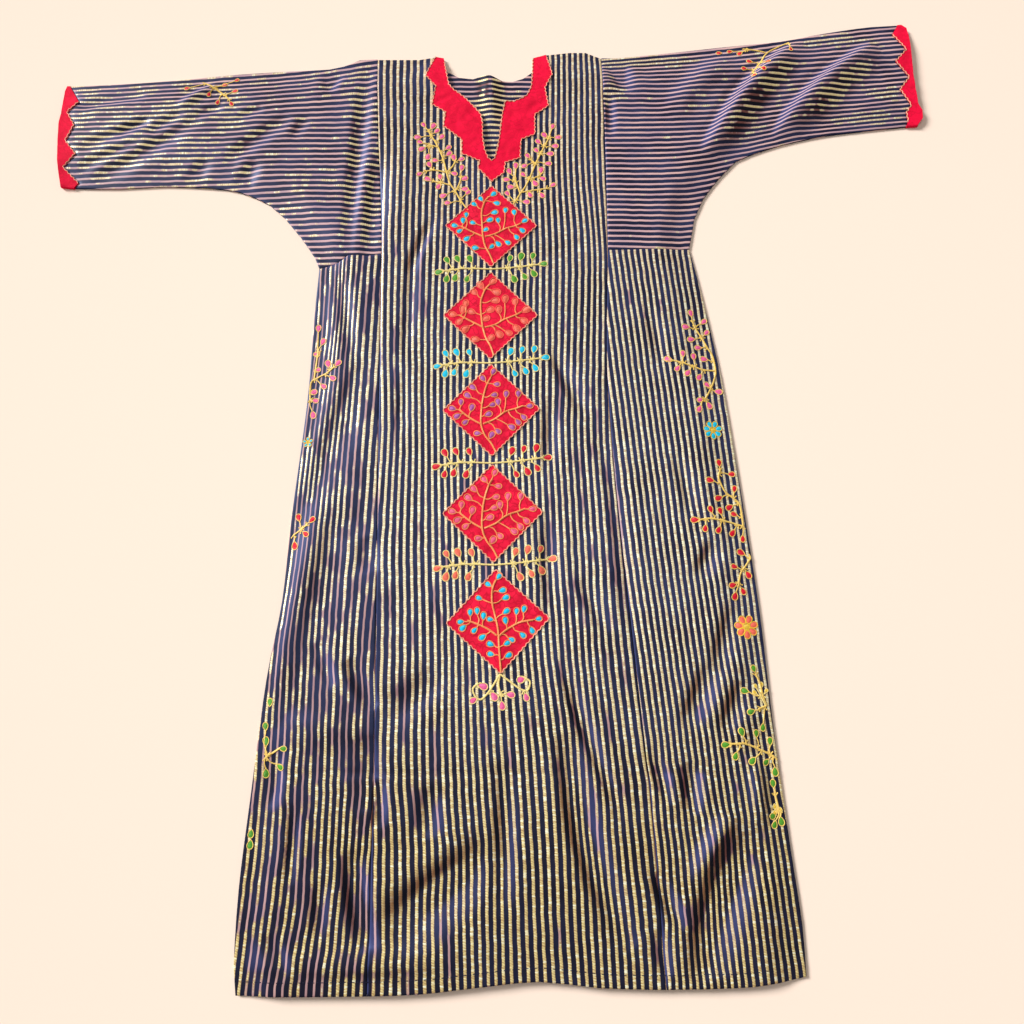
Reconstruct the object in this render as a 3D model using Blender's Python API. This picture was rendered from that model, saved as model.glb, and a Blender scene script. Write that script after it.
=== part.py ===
"""A floor-length kaftan of striped cloth with red cotton trim, laid flat with its front up.

The tables are in millimetres and the model is in metres. +Z is up and +Y runs from the hem to the neck.
The origin is on the floor, under the middle of the footprint. Left and right are the viewer's.
"""

from collections import namedtuple

import bpy
import numpy as np
from mathutils import Vector
from mathutils.geometry import delaunay_2d_cdt

MM = 0.001

# Layers, from the floor up
CLOTH = 1.5  # striped cloth with its seam allowance
TRIM = 1.0  # red cotton with its turned edge
GAP = 0.3  # between pieces that touch
FOLD_ROUND = 1.6  # how far a sleeve's folded top edge rounds out

# How the front lies over the back
LOFT = 6.0  # height at which the front rests on air
EDGE_EASE = 55.0  # the front comes down to the back over this distance from the outline
FOLD_EASE = 15.0  # folds reach almost to the edge
NECK_RISE = 2.6  # the front rises over the back neck facing
NECK_RISE_EASE = 25.0
NECK_SETTLE = 0.6  # share of the loft that is lost round the neck
NECK_LINE = ((0, 490), (0, 610))
NECK_REACH = 95.0
NECK_FADE = 40.0
SOFTNESS = 1.0  # how softly a trough bottoms out on the back

# The shape of a fold, across and along it
FOLD_SHOULDERS = 1.2  # how far its shoulders dip below the cloth around it
FOLD_END = 0.7  # below 1 it keeps its height for longer towards its ends

# Sampling
OUTLINE_STEP = 30.0
TEETH_STEP = 40.0
GRID = (38.0, 50.0)
GRID_ROOM = 17.0
FOLD_STEP = 24.0
FOLD_LINES = (-1.4, -0.7, 0.0, 0.7, 1.4)
FOLD_ROOM = 6.0
RIM_ROOM = 3.5
FOLD_SAMPLES = 13
SAME_PLACE = 1.0  # points this close are one
SAME_POINT = 1e-5
SHARPEST_CORNER = 0.4  # keeps an inset's sharpest corners from running far
BEYOND_TOP = 700.0  # y past the neck and shoulders

# The middle of the footprint, in the tables' own x
MIDDLE_X = 3.5

# Outlines: x, y
SEAM_LEFT_TOP = ((-184, 655), (-174, 480), (-162, 296))
SEAM_LEFT_LOW = ((-162, 296), (-157, 61), (-144, -432), (-141, -721))
SEAM_RIGHT_TOP = ((184, 657), (185, 480), (184, 302))
SEAM_RIGHT_LOW = ((184, 302), (178, 61), (201, -288), (217, -495), (227, -714))
SLEEVE_SEAM_LEFT = ((-162, 296), (-184, 293), (-214, 294), (-230, 281), (-258, 273))
SLEEVE_SEAM_RIGHT = ((184, 302), (247, 304), (310, 306))
HEM_LEFT = ((-304, -722), (-222, -722), (-141, -721))
HEM_CENTRE = ((-141, -721), (-77, -719), (0, -711), (72, -705), (146, -712), (227, -714))
HEM_RIGHT = ((227, -714), (332, -711), (402, -701))
SIDE_LEFT = (
    (-258, 273), (-261, 190), (-263, 60), (-275, -120), (-280, -235),
    (-294, -342), (-304, -495), (-310, -600), (-309, -690), (-304, -722),
)
SIDE_RIGHT = (
    (310, 306), (320, 256), (337, 156), (350, 60), (367, -120),
    (378, -260), (384, -394), (394, -543), (402, -640), (402, -701),
)
UNDERARM_LEFT = (
    (-258, 273), (-266, 292), (-292, 330), (-317, 361), (-342, 384),
    (-391, 407), (-439, 414), (-510, 417), (-581, 413), (-651, 414),
)
UNDERARM_RIGHT = (
    (310, 306), (314, 324), (321, 359), (337, 395), (366, 434), (392, 462),
    (441, 484), (490, 499), (539, 510), (588, 517), (670, 527),
)
SLEEVE_TOP_LEFT = (
    (-184, 655), (-213, 653), (-238, 641), (-262, 635), (-311, 632),
    (-409, 625), (-506, 614), (-603, 606), (-682, 602),
)
SLEEVE_TOP_RIGHT = (
    (184, 657), (207, 657), (281, 665), (381, 678), (482, 690),
    (532, 701), (583, 711), (634, 719), (678, 722),
)
CUFF_TEETH_LEFT = (
    (-682, 602), (-662, 570), (-677, 549), (-663, 525), (-673, 496),
    (-654, 472), (-671, 448), (-645, 422), (-651, 414),
)
CUFF_TEETH_RIGHT = (
    (678, 722), (667, 703), (684, 669), (664, 646), (683, 616),
    (665, 592), (680, 563), (672, 551), (674, 535), (670, 527),
)
CUFF_END_LEFT = (
    (-682, 602), (-687, 602), (-689, 592), (-686, 546), (-688, 531),
    (-685, 496), (-681, 460), (-676, 433), (-672, 416), (-651, 414),
)
CUFF_END_RIGHT = (
    (678, 722), (685, 723), (692, 716), (693, 699), (690, 616),
    (691, 566), (697, 553), (697, 540), (688, 528), (670, 527),
)
SHOULDER_LEFT = ((-184, 655), (-115, 655), (-89, 660), (-75, 657))
SHOULDER_RIGHT = ((71, 657), (93, 664), (133, 669), (158, 669), (184, 657))
NECK_EDGE = (
    (-75, 657), (-70, 628), (-65, 602), (-58, 593), (-40, 578), (-24, 560), (-13, 546), (-10, 532),
    (-9, 500), (-6, 480), (0, 464), (6, 460), (10, 466), (14, 484), (17, 505), (21, 545),
    (26, 570), (40, 570), (52, 575), (62, 583), (68, 598), (70, 625), (71, 657),
)
BACK_NECK_EDGE = (
    (-75, 657), (-70, 632), (-50, 620), (-27, 617), (-12, 621), (2, 619), (22, 612), (38, 612),
    (55, 618), (70, 630), (71, 657),
)
BACK_FACING_EDGE = (
    (-70, 632), (-88, 600), (-88, 500), (-50, 450), (60, 450), (84, 500), (84, 600), (70, 630),
)
FACING_TEETH = (
    (-89, 660), (-104, 620), (-87, 599), (-92, 564), (-70, 549), (-73, 523), (-43, 498),
    (-43, 472), (-14, 459), (-17, 446), (5, 421), (25, 438), (27, 456), (50, 464),
    (52, 498), (74, 508), (74, 544), (96, 561), (91, 596), (103, 622), (93, 664),
)

# Patches: square, on a corner
PATCH_HALF = 71.0
Patch = namedtuple("Patch", "x y tilt")
PATCHES = (
    Patch(5, 343, 0),
    Patch(5, 192, 0),
    Patch(7, 42, 1),
    Patch(10, -112, 1),
    Patch(18, -263, 3),
)

# Folds: a row bends smoothly through three places. Left and right are the half widths on each side of
# the row as it runs. A height below zero is a trough.
Fold = namedtuple("Fold", "start middle end left right height")
FOLDS = (
    # Left armhole
    Fold((-198, 648), (-205, 490), (-217, 284), 16, 16, -4.5),
    Fold((-170, 480), (-179, 390), (-181, 288), 28, 17, -5.5),
    Fold((-262, 588), (-257, 610), (-249, 632), 16, 15, -5),
    # Left sleeve
    Fold((-624, 426), (-538, 482), (-462, 542), 14, 20, -4),
    Fold((-646, 448), (-597, 473), (-550, 496), 10, 13, -2.8),
    Fold((-650, 484), (-600, 508), (-542, 534), 10, 14, -2.8),
    Fold((-543, 509), (-517, 530), (-489, 548), 11, 14, -3),
    Fold((-416, 456), (-373, 497), (-318, 542), 15, 20, -4),
    Fold((-396, 404), (-381, 432), (-364, 462), 13, 18, -3.5),
    Fold((-315, 498), (-303, 520), (-291, 542), 11, 14, -2.5),
    Fold((-662, 556), (-618, 573), (-556, 584), 14, 14, -4),
    Fold((-472, 544), (-450, 553), (-428, 558), 10, 11, -3),
    Fold((-404, 540), (-384, 549), (-362, 556), 9, 11, -3),
    Fold((-477, 416), (-460, 438), (-443, 464), 13, 16, -3),
    Fold((-592, 511), (-568, 524), (-543, 534), 9, 10, -3),
    Fold((-502, 558), (-470, 585), (-438, 609), 10, 13, 4),
    # Right sleeve
    Fold((344, 474), (416, 590), (514, 694), 13, 38, 12),
    Fold((458, 500), (524, 590), (634, 680), 13, 42, 11),
    Fold((286, 540), (333, 600), (396, 656), 24, 32, 4),
    Fold((203, 652), (213, 622), (223, 586), 20, 20, -6),
    Fold((192, 594), (195, 550), (193, 500), 10, 9, -3),
    # Chest
    Fold((-119, 256), (-105, 307), (-82, 360), 11, 10, -3),
    Fold((105, 424), (140, 421), (176, 418), 13, 13, -1.5),
    Fold((88, 304), (130, 308), (173, 310), 14, 14, -1.5),
    Fold((-114, 306), (-117, 220), (-122, 118), 14, 12, -2.6),
    # Waist and hips, left to right
    Fold((-222, 262), (-212, 190), (-200, 118), 16, 14, -3),
    Fold((-182, 122), (-214, 28), (-246, -104), 44, 17, -4.5),
    Fold((-236, -98), (-258, -215), (-286, -404), 22, 32, 4.5),
    Fold((-202, -108), (-226, -230), (-246, -396), 42, 22, -3.5),
    Fold((-166, -146), (-164, -170), (-162, -198), 24, 20, -4.5),
    Fold((-124, 112), (-123, 50), (-127, -16), 14, 12, -2.2),
    Fold((92, 142), (116, 92), (146, 30), 18, 13, -4.5),
    Fold((93, 64), (92, 5), (90, -56), 15, 13, -3),
    Fold((152, 14), (178, -70), (196, -292), 22, 13, -2.6),
    Fold((92, -106), (88, -180), (93, -254), 18, 15, -3.4),
    Fold((130, -206), (148, -240), (170, -278), 20, 14, -4),
    Fold((240, 216), (250, 165), (259, 110), 14, 12, -2.5),
    Fold((271, -22), (283, -70), (291, -118), 18, 14, -3),
    Fold((322, -152), (308, -178), (296, -204), 20, 14, -4),
    Fold((344, -242), (328, -282), (312, -336), 22, 16, -4),
    # Skirt, left to right
    Fold((-231, -292), (-217, -322), (-203, -352), 14, 12, -4.5),
    Fold((-185, -315), (-165, -348), (-146, -380), 18, 16, -6),
    Fold((-264, -390), (-212, -404), (-152, -408), 22, 30, 2.6),
    Fold((-128, -392), (-95, -368), (-52, -328), 30, 24, -3.5),
    Fold((-151, -412), (-147, -455), (-142, -508), 20, 30, -4.5),
    Fold((-136, -468), (-134, -496), (-135, -528), 12, 10, -4),
    Fold((-72, -478), (-70, -506), (-71, -538), 22, 22, -4.5),
    Fold((-172, -556), (-157, -615), (-141, -670), 22, 18, -8),
    Fold((-132, -646), (-60, -600), (14, -547), 26, 50, -8),
    Fold((24, -446), (27, -530), (22, -634), 20, 15, -4),
    Fold((103, -314), (135, -410), (180, -516), 14, 11, -5),
    Fold((106, -410), (132, -552), (190, -666), 30, 19, -8),
    Fold((216, -428), (229, -460), (243, -498), 14, 12, -4.5),
    Fold((270, -446), (271, -478), (270, -514), 16, 18, -5.5),
    Fold((305, -322), (287, -362), (265, -405), 22, 17, -4.5),
    Fold((349, -342), (333, -376), (315, -411), 20, 16, -4.5),
    Fold((216, -582), (232, -612), (253, -647), 14, 12, -5.5),
    Fold((324, -510), (296, -548), (272, -592), 12, 20, 4),
    Fold((352, -530), (291, -622), (276, -706), 44, 23, -9),
    Fold((357, -440), (358, -480), (361, -524), 16, 16, 5),
    Fold((-276, -436), (-274, -470), (-276, -504), 14, 14, -4),
    Fold((-245, -498), (-244, -548), (-246, -598), 12, 9, -3.5),
    Fold((-208, -588), (-206, -622), (-205, -660), 14, 11, -3.2),
    Fold((-269, -653), (-255, -675), (-239, -700), 14, 13, -4.5),
    Fold((217, -646), (222, -672), (227, -702), 14, 11, -3),
    Fold((-292, -688), (-150, -689), (-28, -682), 26, 14, 3),
)
BACK_NECK_FOLD = Fold((0, 690), (2, 605), (4, 520), 10, 9, 6)

# Colour, roughness and metallic value
STRIPED = ("striped_cloth", (0.032, 0.038, 0.11), 0.45, 0.15)
RED = ("red_cotton", (0.78, 0.012, 0.045), 0.75, 0.0)


def straight(rows, step):
    """Points on the straight runs between the rows, at most step apart."""
    rows = np.array(rows, float)
    points = [rows[0]]
    for start, end in zip(rows, rows[1:]):
        count = max(1, int(np.ceil(np.linalg.norm(end - start) / step)))
        points += [start + (end - start) * i / count for i in range(1, count + 1)]
    return np.array(points)


def smooth(rows, step):
    """Points on the smooth curve through the rows, about step apart."""
    rows = np.array(rows, float)
    knots = np.vstack([2 * rows[0] - rows[1], rows, 2 * rows[-1] - rows[-2]])
    points = [rows[0]]
    for before, start, end, after in zip(knots, knots[1:], knots[2:], knots[3:]):
        count = max(1, int(round(np.linalg.norm(end - start) / step)))
        for t in np.arange(1, count + 1) / count:
            linear = (end - before) * t
            square = (2 * before - 5 * start + 4 * end - after) * t**2
            cube = (3 * start - before - 3 * end + after) * t**3
            points.append((2 * start + linear + square + cube) / 2)
    return np.array(points)


def joined(*lines):
    """One closed loop from lines that meet end to end."""
    return np.vstack([line[:-1] for line in lines])


def inset(loop, amount):
    """A counterclockwise loop, moved inwards by amount."""
    ahead = np.roll(loop, -1, axis=0) - loop
    ahead /= np.linalg.norm(ahead, axis=1)[:, None]
    inward = np.column_stack([-ahead[:, 1], ahead[:, 0]])
    corner = inward + np.roll(inward, 1, axis=0)
    corner /= np.maximum((corner**2).sum(axis=1), SHARPEST_CORNER)[:, None] / 2
    return loop + amount * corner


def inside(points, loop):
    """Which points lie inside a closed loop."""
    x, y = np.asarray(points, float).T
    hit = np.zeros(len(x), bool)
    for (ax, ay), (bx, by) in zip(loop, np.roll(loop, -1, axis=0)):
        if ay != by:
            crosses = (ay > y) != (by > y)
            hit ^= crosses & (x < (bx - ax) * (y - ay) / (by - ay) + ax)
    return hit


def near(points, line):
    """Distance to a line, the share of its length at the nearest place, and the side: 1 is left."""
    points, line = np.asarray(points, float), np.asarray(line, float)
    runs = np.diff(line, axis=0)
    lengths = np.linalg.norm(runs, axis=1)
    starts = np.concatenate([[0], np.cumsum(lengths)])
    best = np.full(len(points), np.inf)
    share, side = np.zeros(len(points)), np.ones(len(points))
    for corner, run, length, start in zip(line, runs, lengths, starts):
        away = points - corner
        t = np.clip(away @ run / length**2, 0, 1)
        distance = np.linalg.norm(away - t[:, None] * run, axis=1)
        closer = distance < best
        best[closer] = distance[closer]
        share[closer] = (start + t[closer] * length) / starts[-1]
        side[closer] = np.sign(run[0] * away[closer, 1] - run[1] * away[closer, 0])
    return best, share, side


def ramp(value):
    """Rises smoothly from 0 to 1."""
    value = np.clip(value, 0, 1)
    return value * value * (3 - 2 * value)


def fold_line(fold):
    """The bend through a fold's three places."""
    start, middle, end = (np.array(place, float) for place in (fold.start, fold.middle, fold.end))
    t = np.linspace(0, 1, FOLD_SAMPLES)[:, None]
    pull = 2 * middle - (start + end) / 2
    return (1 - t) ** 2 * start + 2 * t * (1 - t) * pull + t**2 * end


def fold_height(points, fold, shoulders=FOLD_SHOULDERS):
    """A rounded ridge or trough with lower shoulders, which runs out at both ends."""
    distance, share, side = near(points, fold_line(fold))
    across = distance / np.where(side > 0, fold.left, fold.right)
    profile = (1 - shoulders * across**2) * np.exp(-(across**2))
    return fold.height * profile * np.sin(np.pi * share) ** FOLD_END


def outer_edges():
    """The lines where front and back meet: sides, underarms, sleeve tops and shoulders."""
    lines = (SIDE_LEFT, SIDE_RIGHT, UNDERARM_LEFT, UNDERARM_RIGHT, SLEEVE_TOP_LEFT, SLEEVE_TOP_RIGHT)
    curves = [smooth(line, OUTLINE_STEP) for line in lines]
    return curves + [straight(line, OUTLINE_STEP) for line in (SHOULDER_LEFT, SHOULDER_RIGHT)]


def front_level(points):
    """Height of the front's underside over the floor."""
    edge = np.min([near(points, line)[0] for line in outer_edges()], axis=0)
    neck = ramp((NECK_REACH + NECK_FADE - near(points, NECK_LINE)[0]) / NECK_FADE)
    lift = LOFT * (1 - NECK_SETTLE * neck) * ramp(edge / EDGE_EASE)
    lift = lift + sum(fold_height(points, fold) for fold in FOLDS) * ramp(edge / FOLD_EASE)
    lift = (lift + np.sqrt(lift**2 + SOFTNESS**2) - SOFTNESS) / 2
    rise = NECK_RISE * neck * ramp(edge / NECK_RISE_EASE)
    return CLOTH + GAP + rise + np.maximum(lift, 0)


def back_level(points):
    """Height of the back's underside: it lies flat, with one fold at the neck."""
    return fold_height(points, BACK_NECK_FOLD, shoulders=0)


def places_on_folds(folds):
    """Places along each fold: on its middle, its flanks and its shoulders."""
    places = []
    for fold in folds:
        line = fold_line(fold)
        length = np.linalg.norm(np.diff(line, axis=0), axis=1).sum()
        picks = np.linspace(0, len(line) - 1, max(3, int(length / FOLD_STEP)))
        for pick in picks:
            low = min(int(pick), len(line) - 2)
            centre = line[low] + (pick - low) * (line[low + 1] - line[low])
            along = (line[low + 1] - line[low]) / np.linalg.norm(line[low + 1] - line[low])
            left = np.array([-along[1], along[0]])
            for share in FOLD_LINES:
                places.append(centre + left * share * (fold.left if share > 0 else fold.right))
    return np.array(places)


def grid_places(loop):
    """An even grid over the loop's box."""
    axes = []
    for low, high, step in zip(loop.min(axis=0), loop.max(axis=0), GRID):
        count = max(2, int(round((high - low) / step)) + 1)
        axes.append(np.linspace(low, high, count))
    return np.array([(x, y) for x in axes[0] for y in axes[1]])


def inner_places(loop, guides, folds, with_grid=True):
    """Places inside a loop, none too close to its rim, to a guide line or to each other."""
    kept = []
    sources = [(places_on_folds(folds), FOLD_ROOM, RIM_ROOM)]
    if with_grid:
        sources.append((grid_places(loop), GRID_ROOM, GRID_ROOM / 2))
    lines = [np.vstack([loop, loop[:1]])] + list(guides)
    for places, room, rim_room in sources:
        free = inside(places, loop)
        for line in lines:
            free &= near(places, line)[0] > rim_room
        for place in places[free]:
            if not kept or np.linalg.norm(np.array(kept) - place, axis=1).min() > room:
                kept.append(place)
    return np.array(kept).reshape(-1, 2)


def triangulate(loop, guides=(), places=()):
    """Triangles that fill a loop and keep to the guide lines. The loop's points come first."""
    points = [tuple(point) for point in loop]
    edges = [(i, (i + 1) % len(loop)) for i in range(len(loop))]
    for line in guides:
        indices = []
        for point in line:
            gaps = np.linalg.norm(np.array(points) - point, axis=1)
            if gaps.min() < SAME_PLACE:
                indices.append(int(gaps.argmin()))
            else:
                indices.append(len(points))
                points.append(tuple(point))
        edges += list(zip(indices, indices[1:]))
    points += [tuple(place) for place in places]
    made = delaunay_2d_cdt([Vector(point) for point in points], edges, [], 0, SAME_POINT)
    order = [sources[0] for sources in made[3]]
    triangles = np.array([[order[i] for i in face] for face in made[2]])
    return np.array(points), within_rim(triangles, len(loop))


def within_rim(triangles, rim):
    """The triangles on the left of the first rim points' loop, found from its edges inwards."""
    owner = {(int(a), int(b)): i for i, t in enumerate(triangles) for a, b in zip(t, np.roll(t, -1))}
    border = {(i, (i + 1) % rim) for i in range(rim)}
    waiting = [owner[edge] for edge in border]
    found = set(waiting)
    while waiting:
        triangle = triangles[waiting.pop()]
        for a, b in zip(triangle, np.roll(triangle, -1)):
            other = owner.get((int(b), int(a)))
            if (int(a), int(b)) not in border and other is not None and other not in found:
                found.add(other)
                waiting.append(other)
    return triangles[sorted(found)]


def rim_edges(triangles):
    """The edges with a triangle on one side only, each with the cloth on its left."""
    edges = {(int(a), int(b)) for t in triangles for a, b in zip(t, np.roll(t, -1))}
    return sorted(edge for edge in edges if edge[::-1] not in edges)


def finish(look):
    """The named material, made once."""
    name, colour, roughness, metallic = look
    material = bpy.data.materials.get(name)
    if material is None:
        material = bpy.data.materials.new(name)
        material.use_nodes = True
        shader = material.node_tree.nodes["Principled BSDF"]
        shader.inputs["Base Color"].default_value = (*colour, 1)
        shader.inputs["Roughness"].default_value = roughness
        shader.inputs["Metallic"].default_value = metallic
    return material


def add_piece(name, vertices, faces, look):
    """A named object from points in millimetres and faces. Points that no face uses are left out."""
    used = sorted({i for face in faces for i in face})
    new = {old: i for i, old in enumerate(used)}
    placed = (np.array(vertices)[used] - (MIDDLE_X, 0, 0)) * MM
    mesh = bpy.data.meshes.new(name)
    mesh.from_pydata(placed.tolist(), [], [[new[i] for i in face] for face in faces])
    mesh.materials.append(finish(look))
    piece = bpy.data.objects.new(name, mesh)
    bpy.context.scene.collection.objects.link(piece)
    return piece


def at_height(points, height):
    """Plan points with their height."""
    return np.column_stack([points, np.broadcast_to(height, len(points))])


def sheet(name, points, triangles, under, thickness, look):
    """A closed sheet of cloth over plan triangles, with its underside at the heights given."""
    count = len(points)
    vertices = np.vstack([at_height(points, under), at_height(points, under + thickness)])
    faces = [tuple(t[::-1]) for t in triangles]
    faces += [tuple(t + count) for t in triangles]
    faces += [(a, b, b + count, a + count) for a, b in rim_edges(triangles)]
    return add_piece(name, vertices, faces, look)


def folded_sheet(name, loop, is_fold, plan, under, thickness, look):
    """Cloth folded over at the marked rim edges: a flat lower half, and an upper half over plan."""
    points, triangles = plan
    _, flat_triangles = triangulate(loop)
    rim, count = len(loop), len(points)
    ahead = (np.roll(loop, -1, axis=0) - loop) * np.array(is_fold)[:, None]
    ahead = ahead + np.roll(ahead, 1, axis=0)
    ahead /= np.maximum(np.linalg.norm(ahead, axis=1), MM)[:, None]
    rounded = loop + FOLD_ROUND * np.column_stack([ahead[:, 1], -ahead[:, 0]])
    middle = (under[:rim] + thickness) / 2
    vertices = np.vstack([
        at_height(loop, 0.0),
        at_height(loop, CLOTH),
        at_height(rounded, middle),
        at_height(points, under),
        at_height(points, under + thickness),
    ])
    floor, lower, bulge, upper, top = 0, rim, 2 * rim, 3 * rim, 3 * rim + count
    faces = [tuple(t[::-1] + floor) for t in flat_triangles]
    faces += [tuple(t + lower) for t in flat_triangles]
    faces += [tuple(t[::-1] + upper) for t in triangles]
    faces += [tuple(t + top) for t in triangles]
    for a in range(rim):
        b = (a + 1) % rim
        if is_fold[a]:
            faces.append((b + lower, a + lower, a + upper, b + upper))
            faces.append((a + floor, b + floor, b + bulge, a + bulge))
            faces.append((a + bulge, b + bulge, b + top, a + top))
        else:
            faces.append((a + floor, b + floor, b + lower, a + lower))
            faces.append((a + upper, b + upper, b + top, a + top))
        if is_fold[a] and not is_fold[a - 1]:
            faces.append((a + floor, a + bulge, a + top, a + upper, a + lower))
        if is_fold[a] and not is_fold[b]:
            faces.append((b + floor, b + lower, b + upper, b + top, b + bulge))
    return add_piece(name, vertices, faces, look)


def closed_above(line):
    """A loop from a line that starts and ends at the neck or shoulders, closed beyond them."""
    return np.vstack([line, (line[-1, 0], BEYOND_TOP), (line[0, 0], BEYOND_TOP)])


def patch_loop(patch):
    """A square patch on its corner, from its right corner round."""
    turn = np.radians(patch.tilt + np.array([0, 90, 180, 270, 360]))
    corners = np.column_stack([np.cos(turn), np.sin(turn)]) * PATCH_HALF + (patch.x, patch.y)
    return straight(corners, TEETH_STEP)


def centre_loop(neck_edge):
    """The outline of a centre panel, counterclockwise from the left end of its hem."""
    return joined(
        smooth(HEM_CENTRE, OUTLINE_STEP),
        smooth(SEAM_RIGHT_LOW[::-1], OUTLINE_STEP),
        smooth(SEAM_RIGHT_TOP[::-1], OUTLINE_STEP),
        straight(SHOULDER_RIGHT[::-1], OUTLINE_STEP),
        straight(neck_edge[::-1], OUTLINE_STEP),
        straight(SHOULDER_LEFT[::-1], OUTLINE_STEP),
        smooth(SEAM_LEFT_TOP, OUTLINE_STEP),
        smooth(SEAM_LEFT_LOW, OUTLINE_STEP),
    )


def side_loops():
    """The outlines of the left and right side panels, counterclockwise from the underarm."""
    left = joined(
        smooth(SIDE_LEFT, OUTLINE_STEP),
        smooth(HEM_LEFT, OUTLINE_STEP),
        smooth(SEAM_LEFT_LOW[::-1], OUTLINE_STEP),
        straight(SLEEVE_SEAM_LEFT, OUTLINE_STEP),
    )
    right = joined(
        straight(SLEEVE_SEAM_RIGHT[::-1], OUTLINE_STEP),
        smooth(SEAM_RIGHT_LOW, OUTLINE_STEP),
        smooth(HEM_RIGHT, OUTLINE_STEP),
        smooth(SIDE_RIGHT[::-1], OUTLINE_STEP),
    )
    return {"left": left, "right": right}


def marked(*runs):
    """One closed loop from lines that meet end to end, and which of its edges are folded."""
    loop = joined(*[line for line, _ in runs])
    folds = [fold for line, fold in runs for _ in line[1:]]
    return inset(loop, GAP / 2), folds


def sleeve_loops():
    """The outlines of the sleeves, folded along their top edges."""
    left = marked(
        (smooth(SEAM_LEFT_TOP[::-1], OUTLINE_STEP), False),
        (smooth(SLEEVE_TOP_LEFT, OUTLINE_STEP), True),
        (straight(CUFF_TEETH_LEFT, TEETH_STEP), False),
        (smooth(UNDERARM_LEFT[::-1], OUTLINE_STEP), False),
        (straight(SLEEVE_SEAM_LEFT[::-1], OUTLINE_STEP), False),
    )
    right = marked(
        (smooth(SEAM_RIGHT_TOP, OUTLINE_STEP), False),
        (straight(SLEEVE_SEAM_RIGHT, OUTLINE_STEP), False),
        (smooth(UNDERARM_RIGHT, OUTLINE_STEP), False),
        (straight(CUFF_TEETH_RIGHT[::-1], TEETH_STEP), False),
        (smooth(SLEEVE_TOP_RIGHT[::-1], OUTLINE_STEP), True),
    )
    return {"left": left, "right": right}


def cuff_loops():
    """The outlines of the cuff bands, folded above and below."""
    left, right = (straight(line, TEETH_STEP) for line in (CUFF_END_LEFT, CUFF_END_RIGHT))
    left = marked(
        (left[:2], True),
        (left[1:-1], False),
        (left[-2:], True),
        (straight(CUFF_TEETH_LEFT[::-1], TEETH_STEP), False),
    )
    right = marked(
        (straight(CUFF_TEETH_RIGHT, TEETH_STEP), False),
        (right[::-1][:2], True),
        (right[::-1][1:-1], False),
        (right[::-1][-2:], True),
    )
    return {"left": left, "right": right}


def make_back():
    """Three panels flat on the floor, and the facing inside the neck."""
    loop = inset(centre_loop(BACK_NECK_EDGE), GAP / 2)
    facing_edge = np.array(BACK_FACING_EDGE, float)
    places = inner_places(loop, [facing_edge], [BACK_NECK_FOLD], with_grid=False)
    points, triangles = triangulate(loop, [facing_edge], places)
    level = back_level(points)
    sheet("back_center", points, triangles, level, CLOTH, STRIPED)
    facing = triangles[inside(points[triangles].mean(axis=1), closed_above(facing_edge))]
    sheet("back_neck_facing", points, facing, level + CLOTH + GAP, TRIM, STRIPED)
    for side, loop in side_loops().items():
        points, triangles = triangulate(inset(loop, GAP / 2))
        sheet(f"back_side_{side}", points, triangles, np.zeros(len(points)), CLOTH, STRIPED)


def make_front():
    """The centre panel with its facing and patches, and the two side panels."""
    loop = inset(centre_loop(NECK_EDGE), GAP / 2)
    teeth = straight(FACING_TEETH, TEETH_STEP)
    patches = [patch_loop(patch) for patch in PATCHES]
    guides = [teeth] + patches
    points, triangles = triangulate(loop, guides, inner_places(loop, guides, FOLDS))
    level = front_level(points)
    middles = points[triangles].mean(axis=1)
    sheet("front_center", points, triangles, level, CLOTH, STRIPED)
    above = level + CLOTH + GAP
    sheet("neck_facing", points, triangles[inside(middles, closed_above(teeth))], above, TRIM, RED)
    for number, patch in enumerate(patches, 1):
        sheet(f"diamond_{number}", points, triangles[inside(middles, patch[:-1])], above, TRIM, RED)
    for side, loop in side_loops().items():
        loop = inset(loop, GAP / 2)
        points, triangles = triangulate(loop, (), inner_places(loop, (), FOLDS))
        sheet(f"front_side_{side}", points, triangles, front_level(points), CLOTH, STRIPED)


def make_sleeves():
    """The sleeves and the bands on their ends."""
    for side, (loop, folds) in sleeve_loops().items():
        plan = triangulate(loop, (), inner_places(loop, (), FOLDS))
        folded_sheet(f"sleeve_{side}", loop, folds, plan, front_level(plan[0]), CLOTH, STRIPED)
    for side, (loop, folds) in cuff_loops().items():
        plan = triangulate(loop)
        folded_sheet(f"cuff_{side}", loop, folds, plan, front_level(plan[0]), CLOTH + TRIM, RED)


def main():
    for thing in list(bpy.data.objects):
        bpy.data.objects.remove(thing, do_unlink=True)
    make_back()
    make_front()
    make_sleeves()


main()
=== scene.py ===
"""Looks of a floor-length striped kaftan with red cotton trim, laid flat with its front up.

The tables are in millimetres, in the garment's own plan: x to the right, y from the hem to the neck.
Heights are over the floor. Left and right are the viewer's.
"""

import math
from collections import namedtuple

import bpy
import numpy as np
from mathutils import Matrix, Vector, noise
from mathutils.geometry import delaunay_2d_cdt


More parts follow.
